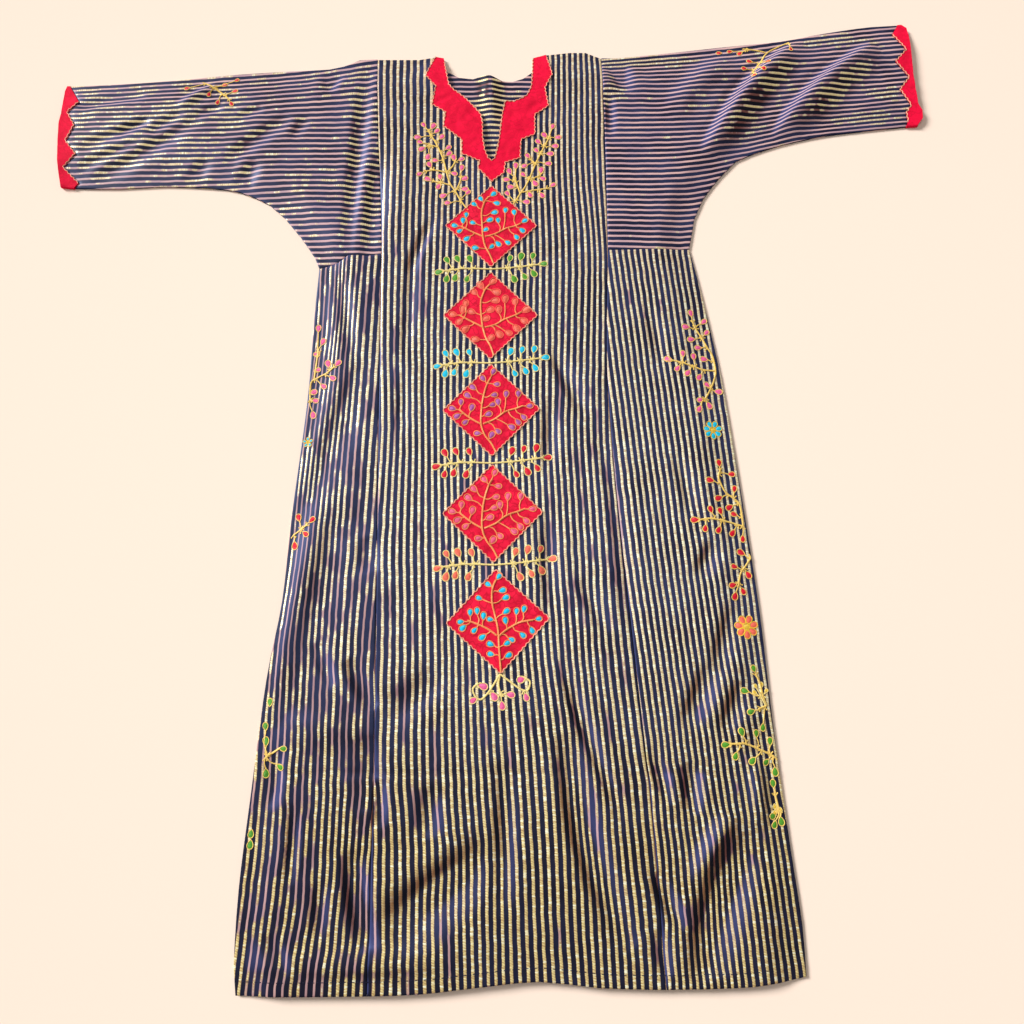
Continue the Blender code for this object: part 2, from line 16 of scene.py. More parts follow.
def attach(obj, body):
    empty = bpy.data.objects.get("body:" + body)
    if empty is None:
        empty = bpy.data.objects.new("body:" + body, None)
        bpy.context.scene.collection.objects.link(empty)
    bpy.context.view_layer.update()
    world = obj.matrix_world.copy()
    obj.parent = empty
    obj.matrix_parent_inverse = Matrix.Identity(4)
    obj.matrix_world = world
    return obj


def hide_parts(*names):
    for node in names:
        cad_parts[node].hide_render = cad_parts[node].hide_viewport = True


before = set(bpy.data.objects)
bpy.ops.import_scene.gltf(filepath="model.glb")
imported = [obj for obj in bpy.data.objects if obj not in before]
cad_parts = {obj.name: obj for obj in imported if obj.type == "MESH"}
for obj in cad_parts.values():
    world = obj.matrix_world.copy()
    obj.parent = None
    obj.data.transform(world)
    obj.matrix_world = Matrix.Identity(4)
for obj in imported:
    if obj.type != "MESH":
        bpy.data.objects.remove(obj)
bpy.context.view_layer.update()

MM = 0.001
MIDDLE_X = 3.5  # the middle of the footprint, in the tables' own x

# Layers, from the floor up, as in the frame
CLOTH = 1.5
TRIM = 1.0
GAP = 0.3
FOLD_ROUND = 1.6
SHELL = 0.9  # the cloth that shows
CUFF_SHELL = 1.6
TRIM_SHELL = 0.9

# How the front lies over the back, as in the frame
LOFT = 6.0
EDGE_EASE = 55.0
LIT_EASE = 20.0  # slopes that face the light count closer to the edge
FOLD_EASE = 15.0  # folds reach almost to the edge
NECK_RISE = 2.6
NECK_RISE_EASE = 25.0
NECK_SETTLE = 0.6
NECK_LINE = ((0, 490), (0, 610))
NECK_REACH = 95.0
NECK_FADE = 40.0
SOFTNESS = 1.0
FOLD_SHOULDERS = 1.2
FOLD_END = 0.7
FOLD_SAMPLES = 13
FOLD_SEEN = 4.6  # half widths past which a fold's height is nothing

# Finer form
RIPPLES = ((0.55, (46.0, 120.0), 3.7), (0.3, (17.0, 44.0), 5.2))  # height, size along x and y, seed
PUCKERS = ((0.6, 15.0, 8.1), (0.45, 8.0, 2.3))  # height, size, seed
SEAM_ROWS = (0.0, 1.2, 2.6, 5.0)  # distances from a seam
SEAM_DROPS = (0.75, 0.3, 0.08, 0.0)
SEAM_RINGS = SEAM_ROWS[1:3]
TRIM_DROP = 0.5
HEM_DEPTH = 17.0
HEM_RISE = 0.35
HEM_EASE = 2.5

# How a fold hides cloth and draws the stripes in
HIDDEN = 1.0  # millimetres of cloth for each millimetre of height
DRAW_EDGE = 1.5
DRAW_REACH = 34.0
DRAW_SEEN = 3.0  # reaches past which a fold draws nothing in
RIDGE_LEAN = 0.55  # a ridge hides its cloth on its steep side
RIDGE_HEIGHT = 8.0

# Meshes
OUTLINE_STEP = 30.0
STRIPE_STEP = 10.0
TEETH_STEP = 40.0
RIM_STEP = 5.0
MESH_STEP = 5.0
BACK_STEP = 14.0
TRIM_STEP = 3.2
RIM_ROOM = 0.55
RING_ROOM = 0.8
SAME_POINT = 1e-5
SHARPEST_CORNER = 0.4
FOLD_TURNS = (45, 90, 135)
SHARP_EDGE = 50.0
EDGE_PARTS = 3  # a panel's edge is at least this part of a shell thick

# Boxes that a sheet's faces fill in its bake layout: left, low, right, top
FACE_BOX = (0.005, 0.175, 0.995, 0.995)
UNDER_BOX = (0.005, 0.095, 0.995, 0.165)
EDGE_BOX = (0.005, 0.065, 0.995, 0.085)
INNER_BOX = (0.005, 0.005, 0.995, 0.055)

# The weave
PITCH = 9.2
BEAD = 3.0
BEAD_LEAN = 9.0  # how far the beads slant, in radians a pitch
ROUND_FALL = 20.0  # how fast a thread rounds off
GOLD_HALF = 0.172  # half widths, in shares of the pitch
EDGE_HALF = 0.205

# Outlines: x, y
SEAM_LEFT_TOP = ((-184, 655), (-174, 480), (-162, 296))
SEAM_LEFT_LOW = ((-162, 296), (-157, 61), (-144, -432), (-141, -721))
SEAM_RIGHT_TOP = ((184, 657), (185, 480), (184, 302))
SEAM_RIGHT_LOW = ((184, 302), (178, 61), (201, -288), (217, -495), (227, -714))
SLEEVE_SEAM_LEFT = ((-162, 296), (-184, 293), (-214, 294), (-230, 281), (-258, 273))
SLEEVE_SEAM_RIGHT = ((184, 302), (247, 304), (310, 306))
HEM_LEFT = ((-304, -722), (-222, -722), (-141, -721))
HEM_CENTRE = ((-141, -721), (-77, -719), (0, -711), (72, -705), (146, -712), (227, -714))
HEM_RIGHT = ((227, -714), (332, -711), (402, -701))
HEM = (HEM_LEFT, HEM_CENTRE, HEM_RIGHT)
SIDE_LEFT = (
    (-258, 273), (-261, 190), (-263, 60), (-275, -120), (-280, -235),
    (-294, -342), (-304, -495), (-310, -600), (-309, -690), (-304, -722),
)
SIDE_RIGHT = (
    (310, 306), (320, 256), (337, 156), (350, 60), (367, -120),
    (378, -260), (384, -394), (394, -543), (402, -640), (402, -701),
)
UNDERARM_LEFT = (
    (-258, 273), (-266, 292), (-292, 330), (-317, 361), (-342, 384),
    (-391, 407), (-439, 414), (-510, 417), (-581, 413), (-651, 414),
)
UNDERARM_RIGHT = (
    (310, 306), (314, 324), (321, 359), (337, 395), (366, 434), (392, 462),
    (441, 484), (490, 499), (539, 510), (588, 517), (670, 527),
)
SLEEVE_TOP_LEFT = (
    (-184, 655), (-213, 653), (-238, 641), (-262, 635), (-311, 632),
    (-409, 625), (-506, 614), (-603, 606), (-682, 602),
)
SLEEVE_TOP_RIGHT = (
    (184, 657), (207, 657), (281, 665), (381, 678), (482, 690),
    (532, 701), (583, 711), (634, 719), (678, 722),
)
CUFF_TEETH_LEFT = (
    (-682, 602), (-662, 570), (-677, 549), (-663, 525), (-673, 496),
    (-654, 472), (-671, 448), (-645, 422), (-651, 414),
)
CUFF_TEETH_RIGHT = (
    (678, 722), (667, 703), (684, 669), (664, 646), (683, 616),
    (665, 592), (680, 563), (672, 551), (674, 535), (670, 527),
)
CUFF_END_LEFT = (
    (-682, 602), (-687, 602), (-689, 592), (-686, 546), (-688, 531),
    (-685, 496), (-681, 460), (-676, 433), (-672, 416), (-651, 414),
)
CUFF_END_RIGHT = (
    (678, 722), (685, 723), (692, 716), (693, 699), (690, 616),
    (691, 566), (697, 553), (697, 540), (688, 528), (670, 527),
)
SHOULDER_LEFT = ((-184, 655), (-115, 655), (-89, 660), (-75, 657))
SHOULDER_RIGHT = ((71, 657), (93, 664), (133, 669), (158, 669), (184, 657))
NECK_EDGE = (
    (-75, 657), (-70, 628), (-65, 602), (-58, 593), (-40, 578), (-24, 560), (-13, 546), (-10, 532),
    (-9, 500), (-6, 480), (0, 464), (6, 460), (10, 466), (14, 484), (17, 505), (21, 545),
    (26, 570), (40, 570), (52, 575), (62, 583), (68, 598), (70, 625), (71, 657),
)
BACK_NECK_EDGE = (
    (-75, 657), (-70, 632), (-50, 620), (-27, 617), (-12, 621), (2, 619), (22, 612), (38, 612),
    (55, 618), (70, 630), (71, 657),
)
BACK_FACING_EDGE = (
    (-70, 632), (-88, 600), (-88, 500), (-50, 450), (60, 450), (84, 500), (84, 600), (70, 630),
)
FACING_TEETH = (
    (-89, 660), (-104, 620), (-87, 599), (-92, 564), (-70, 549), (-73, 523), (-43, 498),
    (-43, 472), (-14, 459), (-17, 446), (5, 421), (25, 438), (27, 456), (50, 464),
    (52, 498), (74, 508), (74, 544), (96, 561), (91, 596), (103, 622), (93, 664),
)

# Patches: square, on a corner
PATCH_HALF = 71.0
Patch = namedtuple("Patch", "x y tilt")
PATCHES = (
    Patch(5, 343, 0),
    Patch(5, 192, 0),
    Patch(7, 42, 1),
    Patch(10, -112, 1),
    Patch(18, -263, 3),
)

# Folds: a row bends smoothly through three places. Left and right are the half widths on each side of
# the row as it runs. A height below zero is a trough.
Fold = namedtuple("Fold", "start middle end left right height")
FOLDS = [Fold(*row) for row in (
    # Left armhole
    ((-198, 648), (-205, 490), (-217, 284), 16, 16, -4.5),
    ((-170, 480), (-179, 390), (-181, 288), 28, 17, -5.5),
    ((-262, 588), (-257, 610), (-249, 632), 16, 15, -5),
    # Left sleeve
    ((-624, 426), (-538, 482), (-462, 542), 14, 20, -4),
    ((-646, 448), (-597, 473), (-550, 496), 10, 13, -2.8),
    ((-650, 484), (-600, 508), (-542, 534), 10, 14, -2.8),
    ((-543, 509), (-517, 530), (-489, 548), 11, 14, -3),
    ((-416, 456), (-373, 497), (-318, 542), 15, 20, -4),
    ((-396, 404), (-381, 432), (-364, 462), 13, 18, -3.5),
    ((-315, 498), (-303, 520), (-291, 542), 11, 14, -2.5),
    ((-662, 556), (-618, 573), (-556, 584), 14, 14, -4),
    ((-472, 544), (-450, 553), (-428, 558), 10, 11, -3),
    ((-404, 540), (-384, 549), (-362, 556), 9, 11, -3),
    ((-477, 416), (-460, 438), (-443, 464), 13, 16, -3),
    ((-592, 511), (-568, 524), (-543, 534), 9, 10, -3),
    ((-502, 558), (-470, 585), (-438, 609), 10, 13, 4),
    # Right sleeve
    ((344, 474), (416, 590), (514, 694), 13, 38, 12),
    ((458, 500), (524, 590), (634, 680), 13, 42, 11),
    ((286, 540), (333, 600), (396, 656), 24, 32, 4),
    ((203, 652), (213, 622), (223, 586), 20, 20, -6),
    ((192, 594), (195, 550), (193, 500), 10, 9, -3),
    # Chest
    ((-119, 256), (-105, 307), (-82, 360), 11, 10, -3),
    ((105, 424), (140, 421), (176, 418), 13, 13, -1.5),
    ((88, 304), (130, 308), (173, 310), 14, 14, -1.5),
    ((-114, 306), (-117, 220), (-122, 118), 14, 12, -2.6),
    # Waist and hips, left to right
    ((-222, 262), (-212, 190), (-200, 118), 16, 14, -3),
    ((-182, 122), (-214, 28), (-246, -104), 44, 17, -4.5),
    ((-236, -98), (-258, -215), (-286, -404), 22, 32, 4.5),
    ((-202, -108), (-226, -230), (-246, -396), 42, 22, -3.5),
    ((-166, -146), (-164, -170), (-162, -198), 24, 20, -4.5),
    ((-124, 112), (-123, 50), (-127, -16), 14, 12, -2.2),
    ((92, 142), (116, 92), (146, 30), 18, 13, -4.5),
    ((93, 64), (92, 5), (90, -56), 15, 13, -3),
    ((152, 14), (178, -70), (196, -292), 22, 13, -2.6),
    ((92, -106), (88, -180), (93, -254), 18, 15, -3.4),
    ((130, -206), (148, -240), (170, -278), 20, 14, -4),
    ((240, 216), (250, 165), (259, 110), 14, 12, -2.5),
    ((271, -22), (283, -70), (291, -118), 18, 14, -3),
    ((322, -152), (308, -178), (296, -204), 20, 14, -4),
    ((344, -242), (328, -282), (312, -336), 22, 16, -4),
    # Skirt, left to right
    ((-231, -292), (-217, -322), (-203, -352), 14, 12, -4.5),
    ((-185, -315), (-165, -348), (-146, -380), 18, 16, -6),
    ((-264, -390), (-212, -404), (-152, -408), 22, 30, 2.6),
    ((-128, -392), (-95, -368), (-52, -328), 30, 24, -3.5),
    ((-151, -412), (-147, -455), (-142, -508), 20, 30, -4.5),
    ((-136, -468), (-134, -496), (-135, -528), 12, 10, -4),
    ((-72, -478), (-70, -506), (-71, -538), 22, 22, -4.5),
    ((-172, -556), (-157, -615), (-141, -670), 22, 18, -8),
    ((-132, -646), (-60, -600), (14, -547), 26, 50, -8),
    ((24, -446), (27, -530), (22, -634), 20, 15, -4),
    ((103, -314), (135, -410), (180, -516), 14, 11, -5),
    ((106, -410), (132, -552), (190, -666), 30, 19, -8),
    ((216, -428), (229, -460), (243, -498), 14, 12, -4.5),
    ((270, -446), (271, -478), (270, -514), 16, 18, -5.5),
    ((305, -322), (287, -362), (265, -405), 22, 17, -4.5),
    ((349, -342), (333, -376), (315, -411), 20, 16, -4.5),
    ((216, -582), (232, -612), (253, -647), 14, 12, -5.5),
    ((324, -510), (296, -548), (272, -592), 12, 20, 4),
    ((352, -530), (291, -622), (276, -706), 44, 23, -9),
    ((357, -440), (358, -480), (361, -524), 16, 16, 5),
    ((-276, -436), (-274, -470), (-276, -504), 14, 14, -4),
    ((-245, -498), (-244, -548), (-246, -598), 12, 9, -3.5),
    ((-208, -588), (-206, -622), (-205, -660), 14, 11, -3.2),
    ((-269, -653), (-255, -675), (-239, -700), 14, 13, -4.5),
    ((217, -646), (222, -672), (227, -702), 14, 11, -3),
    ((-292, -688), (-150, -689), (-28, -682), 26, 14, 3),
)]
BACK_NECK_FOLD = Fold((0, 690), (2, 605), (4, 520), 15, 15, 6.5)

# Fine creases that the solids leave out
CREASES = [Fold(*row) for row in (
    ((-300, -462), (-80, -461), (130, -462), 4, 4, -0.9),
    ((120, -461), (260, -460), (388, -458), 4, 4, -0.8),
    ((-62, 603), (-78, 606), (-96, 612), 4, 6, -1.5),
    ((-66, 628), (-80, 634), (-92, 646), 4, 5, -0.9),
    ((-90, 572), (-76, 574), (-60, 584), 4, 6, -1.1),
    ((-70, 541), (-56, 534), (-44, 520), 4, 5, -1.2),
    ((-12, 528), (-22, 544), (-36, 558), 5, 7, -1.4),
    ((-42, 486), (-30, 492), (-16, 502), 4, 5, -0.9),
    ((-14, 450), (-4, 448), (6, 440), 4, 5, -0.9),
    ((4, 456), (12, 446), (22, 436), 4, 5, -1.0),
    ((15, 500), (22, 486), (28, 468), 5, 6, -1.2),
    ((72, 512), (58, 516), (46, 526), 4, 5, -1.1),
    ((24, 566), (34, 552), (48, 538), 6, 8, -1.5),
    ((94, 566), (80, 564), (66, 556), 4, 6, -1.1),
    ((70, 634), (84, 638), (98, 642), 5, 6, -1.4),
    ((70, 606), (82, 602), (92, 594), 4, 5, -0.9),
)]

# Where the stripes run. The marks number the stripes in millimetres of cloth. Each row starts with its
# place along the stripes, and then says where each marked stripe lies across them.
Stripes = namedtuple("Stripes", "along marks rows")
BODY, ARM = 1, 0
STRIPES = {
    "centre": Stripes(BODY, (-150, -75, 0, 75, 150, 185), (
        (-720, -131, -45, 32, 117, 196, 234),
        (-640, -131, -48, 30, 112, 192, 231),
        (-560, -134, -51, 28, 109, 186, 225),
        (-440, -143, -60, 19, 102, 177, 215),
        (-300, -146, -63, 10, 87, 163, 202),
        (-150, -151, -70, 4, 80, 156, 193),
        (0, -148, -75, 0, 75, 150, 185),
        (150, -155, -79, -1, 75, 153, 187),
        (300, -159, -78, 0, 77, 158, 189),
        (450, -160, -77, -2, 75, 151, 186),
        (650, -170, -80, -4, 78, 153, 187),
    )),
    "left": Stripes(BODY, (-280.6, -253, -225.4, -197.8, -170.2), (
        (-710, -291, -264, -235, -206, -177),
        (-640, -286, -257, -229, -201, -173),
        (-560, -282, -253, -225, -197, -171),
        (-440, -281, -253, -226, -199, -171),
        (-300, -281, -257, -230, -202, -174),
        (-220, -275, -253, -229, -202, -172),
        (-150, -270, -249, -227, -201, -170),
        (0, -264, -244, -222, -197, -166),
        (150, -255, -234, -217, -194, -162),
        (290, -255, -232, -216, -191, -161),
    )),
    "right": Stripes(BODY, (200, 275, 340), (
        (-720, 259, 329, 396),
        (-640, 256, 326, 390),
        (-560, 252, 322, 384),
        (-440, 242, 312, 372),
        (-300, 228, 300, 361),
        (-150, 213, 288, 351),
        (0, 200, 275, 340),
        (150, 186, 261, 327),
        (300, 172, 247, 313),
    )),
    "sleeve_left": Stripes(ARM, (440, 520, 600), (
        (-690, 430, 512, 583),
        (-560, 436, 517, 592),
        (-440, 440, 520, 600),
        (-320, 446, 528, 610),
        (-180, 446, 530, 630),
    )),
    "sleeve_right": Stripes(ARM, (320, 420, 520, 600, 660), (
        (180, 320, 419, 520, 600, 648),
        (300, 320, 420, 522, 602, 660),
        (400, 345, 445, 533, 612, 672),
        (520, 380, 475, 556, 632, 692),
        (690, 400, 495, 575, 650, 712),
    )),
}

# How much of the stripes shows gold, partly the weave's own pattern and partly a painted glint of the metal
# thread: x, y, reach across and along, share
GoldPlace = namedtuple("GoldPlace", "x y across along share")
GOLD_BASE = {"centre": 0.72, "left": 0.55, "right": 0.86, "sleeve_left": 0.40, "sleeve_right": 0.20}
GOLD_PLACES = [GoldPlace(*row) for row in (
    # Body
    (0, 520, 260, 240, 1.1), (0, 100, 100, 260, 0.95), (-125, 100, 40, 220, 0.7),
    (60, -600, 150, 150, 0.95), (300, -100, 80, 260, 1.1), (-268, 0, 17, 320, 0.38),
    # Left sleeve
    (-520, 540, 120, 60, 0.56), (-480, 470, 120, 40, 0.5), (-410, 590, 80, 26, 0.56),
    (-240, 380, 50, 70, 0.42), (-630, 500, 40, 90, 0.58), (-215, 600, 30, 50, 0.6),
    (-320, 520, 50, 90, 0.26),
    # Right sleeve
    (290, 650, 60, 12, 1.1), (200, 585, 22, 14, 1.1), (205, 650, 30, 10, 1.0), (570, 690, 60, 16, 1.0),
    (640, 588, 26, 10, 1.0), (610, 542, 50, 12, 1.0), (420, 540, 40, 50, 0.3), (470, 610, 30, 40, 0.42),
    (560, 585, 30, 40, 0.42), (600, 630, 30, 30, 0.45), (230, 480, 60, 60, 0.14),
    (250, 340, 60, 40, 0.14),
)]
SLEEVE_FROM = (190, 300)  # a place past these in x and y is on a sleeve
SHADED = (0.85, -0.53)  # the way that a slope in shade faces
NECK_SHADE = 1.6  # how much stronger the painted shade is on the back's neck, which shades both flanks of its fold
NECK_GOLD = (0.3, 0.9)  # the shares of gold above and below the turn at the slit
NECK_TURN = (555, 590)  # between these heights one share passes into the other

# Embroidery. A spray's stems and buds are placed from its own origin, and its stems run from the root.
# Each bud gets a stalk from the nearest stem.
Spray = namedtuple("Spray", "name x y silk thread size stems buds")
PLANT_STEMS = (
    ((5, -65), (-1, -51), (-9, -38), (-14, -21), (-15, 2), (-14, 22), (-9, 40), (-3, 50)),
    ((-14, -21), (-25, -15), (-38, -7), (-48, 0)),
    ((-11, -21), (5, -15), (20, -5), (37, 1), (45, 5)),
)
PLANT_BUDS = (
    (2, 57), (-15, 48), (-27, 36), (7, 39), (-37, 20), (4, 23), (21, 25), (37, 23), (-44, 10), (-29, 4),
    (-1, 8), (10, 10), (-57, 1), (53, 7), (-49, -10), (-38, -21), (-7, -7), (47, -10), (38, -20),
    (27, -28), (10, -32), (0, -38), (-22, -38),
)
TREE_STEMS = (
    ((3, -69), (3, -37), (1, -12), (-5, 8), (-10, 28), (-8, 46), (-3, 56)),
    ((0, -20), (-13, -10), (-28, -3), (-42, 1)),
    ((2, -22), (12, -14), (27, -5), (39, -1), (48, 1)),
)
TREE_BUDS = (
    (1, 59), (-15, 50), (7, 43), (-26, 30), (9, 30), (-27, 14), (-38, 12), (-21, 5), (-9, 1), (11, 14),
    (24, 13), (37, 14), (10, 0), (-52, 0), (-46, -10), (55, 1), (45, -12), (35, -18), (-32, -14),
    (-22, -23), (20, -24), (-10, -31), (11, -32), (-8, -45), (14, -45),
)
BAND_STEMS = (((0, -2), (-40, -1), (-73, -5)), ((0, -2), (35, 1), (74, 6)))
BAND_BUDS = (
    (-67, 13), (-51, 15), (-32, 15), (29, 16), (46, 19), (64, 20), (-67, -18), (-54, -16), (-36, -18),
    (35, -18), (51, -14), (65, -9), (-79, -7), (80, 7),
)
PATCH_SPRAYS = (
    Spray("patch_1", 5, 343, "turquoise", "orange", 1.0, PLANT_STEMS, PLANT_BUDS),
    Spray("patch_2", 6, 192, "coral", "orange", 1.15, PLANT_STEMS, PLANT_BUDS),
    Spray("patch_3", 8, 42, "purple", "orange", 1.0, PLANT_STEMS, PLANT_BUDS),
    Spray("patch_4", 11, -112, "rose", "orange", 1.0, PLANT_STEMS, PLANT_BUDS),
    Spray("patch_5", 18, -263, "turquoise", "orange", 0.95, TREE_STEMS, TREE_BUDS),
)
BANDS = ((5, 271, "green"), (6, 117, "turquoise"), (8, -37, "scarlet"), (13, -184, "coral"))
CLOTH_SPRAYS = (
    *(Spray(f"band_{number}", *band, "straw", 1.08, BAND_STEMS, BAND_BUDS)
      for number, band in enumerate(BANDS, 1)),
    Spray("tail", 21, -334, "pink", "straw", 1.05, (
        ((0, 0), (-14, -22), (-25, -33), (-33, -29), (-36, -19), (-29, -12)),
        ((0, 0), (-2, -14), (2, -30)),
        ((0, 0), (15, -11), (28, -20), (37, -21), (40, -10), (33, -5)),
    ), ((-23, -16), (-35, -34), (-8, -29), (3, -41), (14, -27), (29, -7), (35, -30))),
    Spray("neck_left", 0, -1.5, "pink", "honey", 0.96, (
        ((-31, 372), (-42, 388), (-52, 407), (-60, 420), (-66, 440), (-72, 465), (-82, 490),
         (-92, 508), (-97, 518)),
        ((-57, 416), (-72, 421), (-88, 424)),
        ((-66, 440), (-84, 444), (-100, 442)),
        ((-80, 486), (-90, 489), (-98, 488)),
        ((-52, 405), (-46, 418), (-42, 434)),
        ((-66, 440), (-56, 452), (-52, 462)),
    ), (
        (-104, 527), (-89, 525), (-83, 516), (-75, 505), (-113, 504), (-109, 495), (-106, 483), (-64, 485),
        (-63, 474), (-55, 467), (-43, 464), (-96, 469), (-84, 462), (-93, 454), (-42, 448), (-54, 438),
        (-38, 429), (-108, 437), (-95, 428), (-76, 432), (-78, 415), (-37, 410), (-32, 404), (-70, 398),
        (-63, 385),
    )),
    Spray("neck_right", 0, -1.5, "pink", "honey", 0.96, (
        ((32, 372), (42, 388), (50, 402), (58, 415), (66, 433), (74, 455), (84, 478), (92, 495), (98, 507)),
        ((50, 404), (72, 408), (94, 411)),
        ((50, 402), (45, 418), (40, 430)),
        ((64, 428), (76, 432), (84, 438)),
        ((74, 456), (66, 464)),
    ), (
        (102, 524), (89, 508), (110, 504), (79, 496), (105, 488), (76, 480), (97, 474), (62, 470),
        (94, 456), (43, 452), (57, 452), (33, 442), (55, 436), (83, 444), (29, 427), (85, 429), (73, 421),
        (101, 417), (35, 414), (65, 400), (84, 399), (59, 387), (30, 402),
    )),
    Spray("right_1", 0, 0, "pink", "honey", 0.96, (
        ((320, 60), (328, 74), (335, 90), (338, 105), (335, 128), (328, 142), (320, 158),
         (312, 172), (307, 186)),
        ((338, 105), (318, 106), (300, 112), (280, 118), (270, 120)),
    ), (
        (306, 197), (325, 184), (297, 174), (328, 166), (304, 154), (314, 141), (306, 126), (322, 123),
        (290, 130), (268, 121), (281, 107), (296, 100), (313, 94), (324, 82), (340, 72), (312, 58),
        (325, 50), (310, 44),
    )),
    Spray("right_2", 0, 0, "scarlet", "honey", 0.95, (
        ((363, -130), (360, -100), (352, -90), (340, -80), (332, -60), (336, -46)),
        ((362, -130), (340, -124), (316, -120), (300, -122)),
        ((370, -175), (362, -187), (354, -198), (350, -215)),
    ), (
        (334, -38), (351, -54), (319, -64), (354, -76), (330, -90), (317, -107), (331, -109), (345, -103),
        (351, -113), (294, -122), (308, -134), (327, -136), (347, -140), (361, -148), (357, -168),
        (346, -188), (365, -199), (342, -214), (356, -222), (344, -229),
    )),
    Spray("right_3", -1, 0, "green", "honey", 0.92, (
        ((383, -440), (366, -432), (345, -424), (325, -424)),
        ((378, -375), (374, -362), (371, -345), (366, -334)),
        ((378, -375), (366, -380)),
        ((384, -506), (380, -485)),
    ), (
        (364, -327), (350, -356), (356, -383), (371, -403), (341, -409), (361, -411), (319, -425),
        (379, -421), (331, -439), (353, -445), (372, -447), (383, -459), (379, -474), (376, -513),
        (386, -520), (377, -524),
    )),
    Spray("right_4", -2, 0, "yellow", "straw", 0.55, (((378, -375), (372, -362)),), (
        (366, -350), (374, -348), (380, -356), (364, -358), (380, -502), (387, -506), (379, -510),
    )),
    Spray("left_1", 3, 0, "pink", "honey", 0.96, (
        ((-262, 60), (-262, 86), (-252, 94), (-240, 100), (-228, 110)),
        ((-258, 90), (-256, 115), (-254, 140)),
    ), (
        (-256, 173), (-248, 151), (-256, 132), (-238, 115), (-254, 106), (-223, 115), (-230, 92),
        (-243, 80), (-258, 71), (-254, 58), (-256, 36),
    )),
    Spray("left_2", 0, 0, "scarlet", "honey", 0.95, (((-270, -143), (-260, -136), (-250, -128)),), (
        (-264, -118), (-244, -122), (-267, -158), (-252, -142),
    )),
    Spray("left_3", 0, 0, "green", "honey", 0.92, (((-287, -441), (-277, -435), (-268, -429)),), (
        (-286, -371), (-290, -402), (-288, -421), (-264, -430), (-285, -461), (-267, -453),
        (-299, -535), (-299, -548),
    )),
    Spray("sleeve_left_1", 0, 0, "scarlet", "honey", 0.8, (
        ((-462, 608), (-445, 596), (-430, 584), (-418, 572)),
    ), (
        (-491, 598), (-453, 584), (-431, 604), (-412, 614), (-412, 590), (-437, 568), (-415, 565),
    )),
    Spray("sleeve_right_1", 0, 0, "scarlet", "honey", 0.8, (
        ((495, 688), (470, 676), (455, 665), (443, 645), (432, 630), (427, 622)),
        ((455, 668), (435, 673), (418, 675)),
    ), (
        (378, 667), (396, 670), (412, 666), (494, 669), (426, 648), (452, 641), (416, 633), (443, 624),
        (428, 613),
    )),
)
Flower = namedtuple("Flower", "x y radius petals silk")
FLOWERS = (
    Flower(328, 12, 13, 7, "turquoise"),
    Flower(357, -271, 15, 7, "coral"),
    Flower(-258, -6, 7, 5, "turquoise"),
)

# Threads, as the picture shows them: red, green and blue from 0 to 255
SILKS = {
    "straw": (250, 226, 144),
    "honey": (248, 210, 112),
    "orange": (255, 160, 98),
    "edging": (250, 168, 138),
    "turquoise": (20, 208, 246),
    "coral": (255, 116, 92),
    "purple": (184, 96, 176),
    "rose": (252, 100, 142),
    "pink": (250, 104, 164),
    "green": (88, 164, 48),
    "scarlet": (232, 20, 52),
    "yellow": (244, 202, 66),
    "navy": (26, 26, 52),
}
DEEP_SILK = 0.78

BUD_LENGTH = 12.0
BUD_WIDTH = 9.0
BUD_HEIGHT = 0.9
BUD_RINGS = (1.0, 0.72, 0.38)
BUD_CORNERS = 16
STALK_BACK = 0.45  # how far back down the stem a stalk starts, in stalk lengths
STALK_REACH = 36.0
STALK_BEND = 0.12
SELF_EDGED = "patch_2"  # its buds are outlined in their own silk
PLANT_WOBBLE = 1.6
STEM_WAVES = (17, 15)  # how the wobble of a patch's stems runs, in millimetres a radian
BUD_TURNS = (2.1, 1.7)  # and that of its buds, in radians from bud to bud
SIZE_WOBBLE = 0.09
SIZE_TURN = 3.7
STEM_WIDTH = 1.45
STALK_WIDTH = 0.95
LEAF_LENGTH = 5.5
LEAF_SPREAD = 0.75  # radians from the stalk
OUTLINE_WIDTH = 0.62
OUTLINE_CHAIN = 0.1
BUD_DOME = 1.02  # over 1, so that a bud's rim stands a little over its cloth
BUD_SINK = 0.1
DROP_POINT = 0.7  # a drop is more pointed with more
DROP_FULL = 1.12
PATCH_BUD = 0.8  # how much of its outline a bud on a patch fills
CLOTH_BUD = 0.96
LEAVES = (LEAF_SPREAD, -LEAF_SPREAD)
STITCH = 3.2
CHAIN = 0.3  # how much thinner a thread is between its stitches
THREAD_LIFT = 0.25
THREAD_FLAT = 0.75  # a thread's height in its widths
TUBE_STEP = 1.1
TUBE_CORNERS = 6
EDGING_WIDTH = 0.8
EDGING_WAVE = 0.75
EDGING_STITCH = 7.6
EDGING_INSET = 0.4
EDGING_LIFT = 0.2
HEM_LINE = 16.0
HEM_DASH = (3.6, 5.4)  # stitch length, stitch spacing
HEM_THREAD = 0.55
HEM_LIFT = 0.35
HEM_ENDS = 6  # steps left free at the ends of the hem
FULL_FLOWER = 15  # the radius of a flower whose petals have a bud's full size
FLOWER_TURN = 0.3
PETAL_PLACE = 0.66  # a petal's middle, in radii from the flower's middle
PETAL_EDGE = 1.06
MIDDLE_BUD = (0.85, 0.8)  # size and roundness
MIDDLE_EDGE = 0.95
SILK_LINES = 0.62  # spacing of the satin stitches' threads

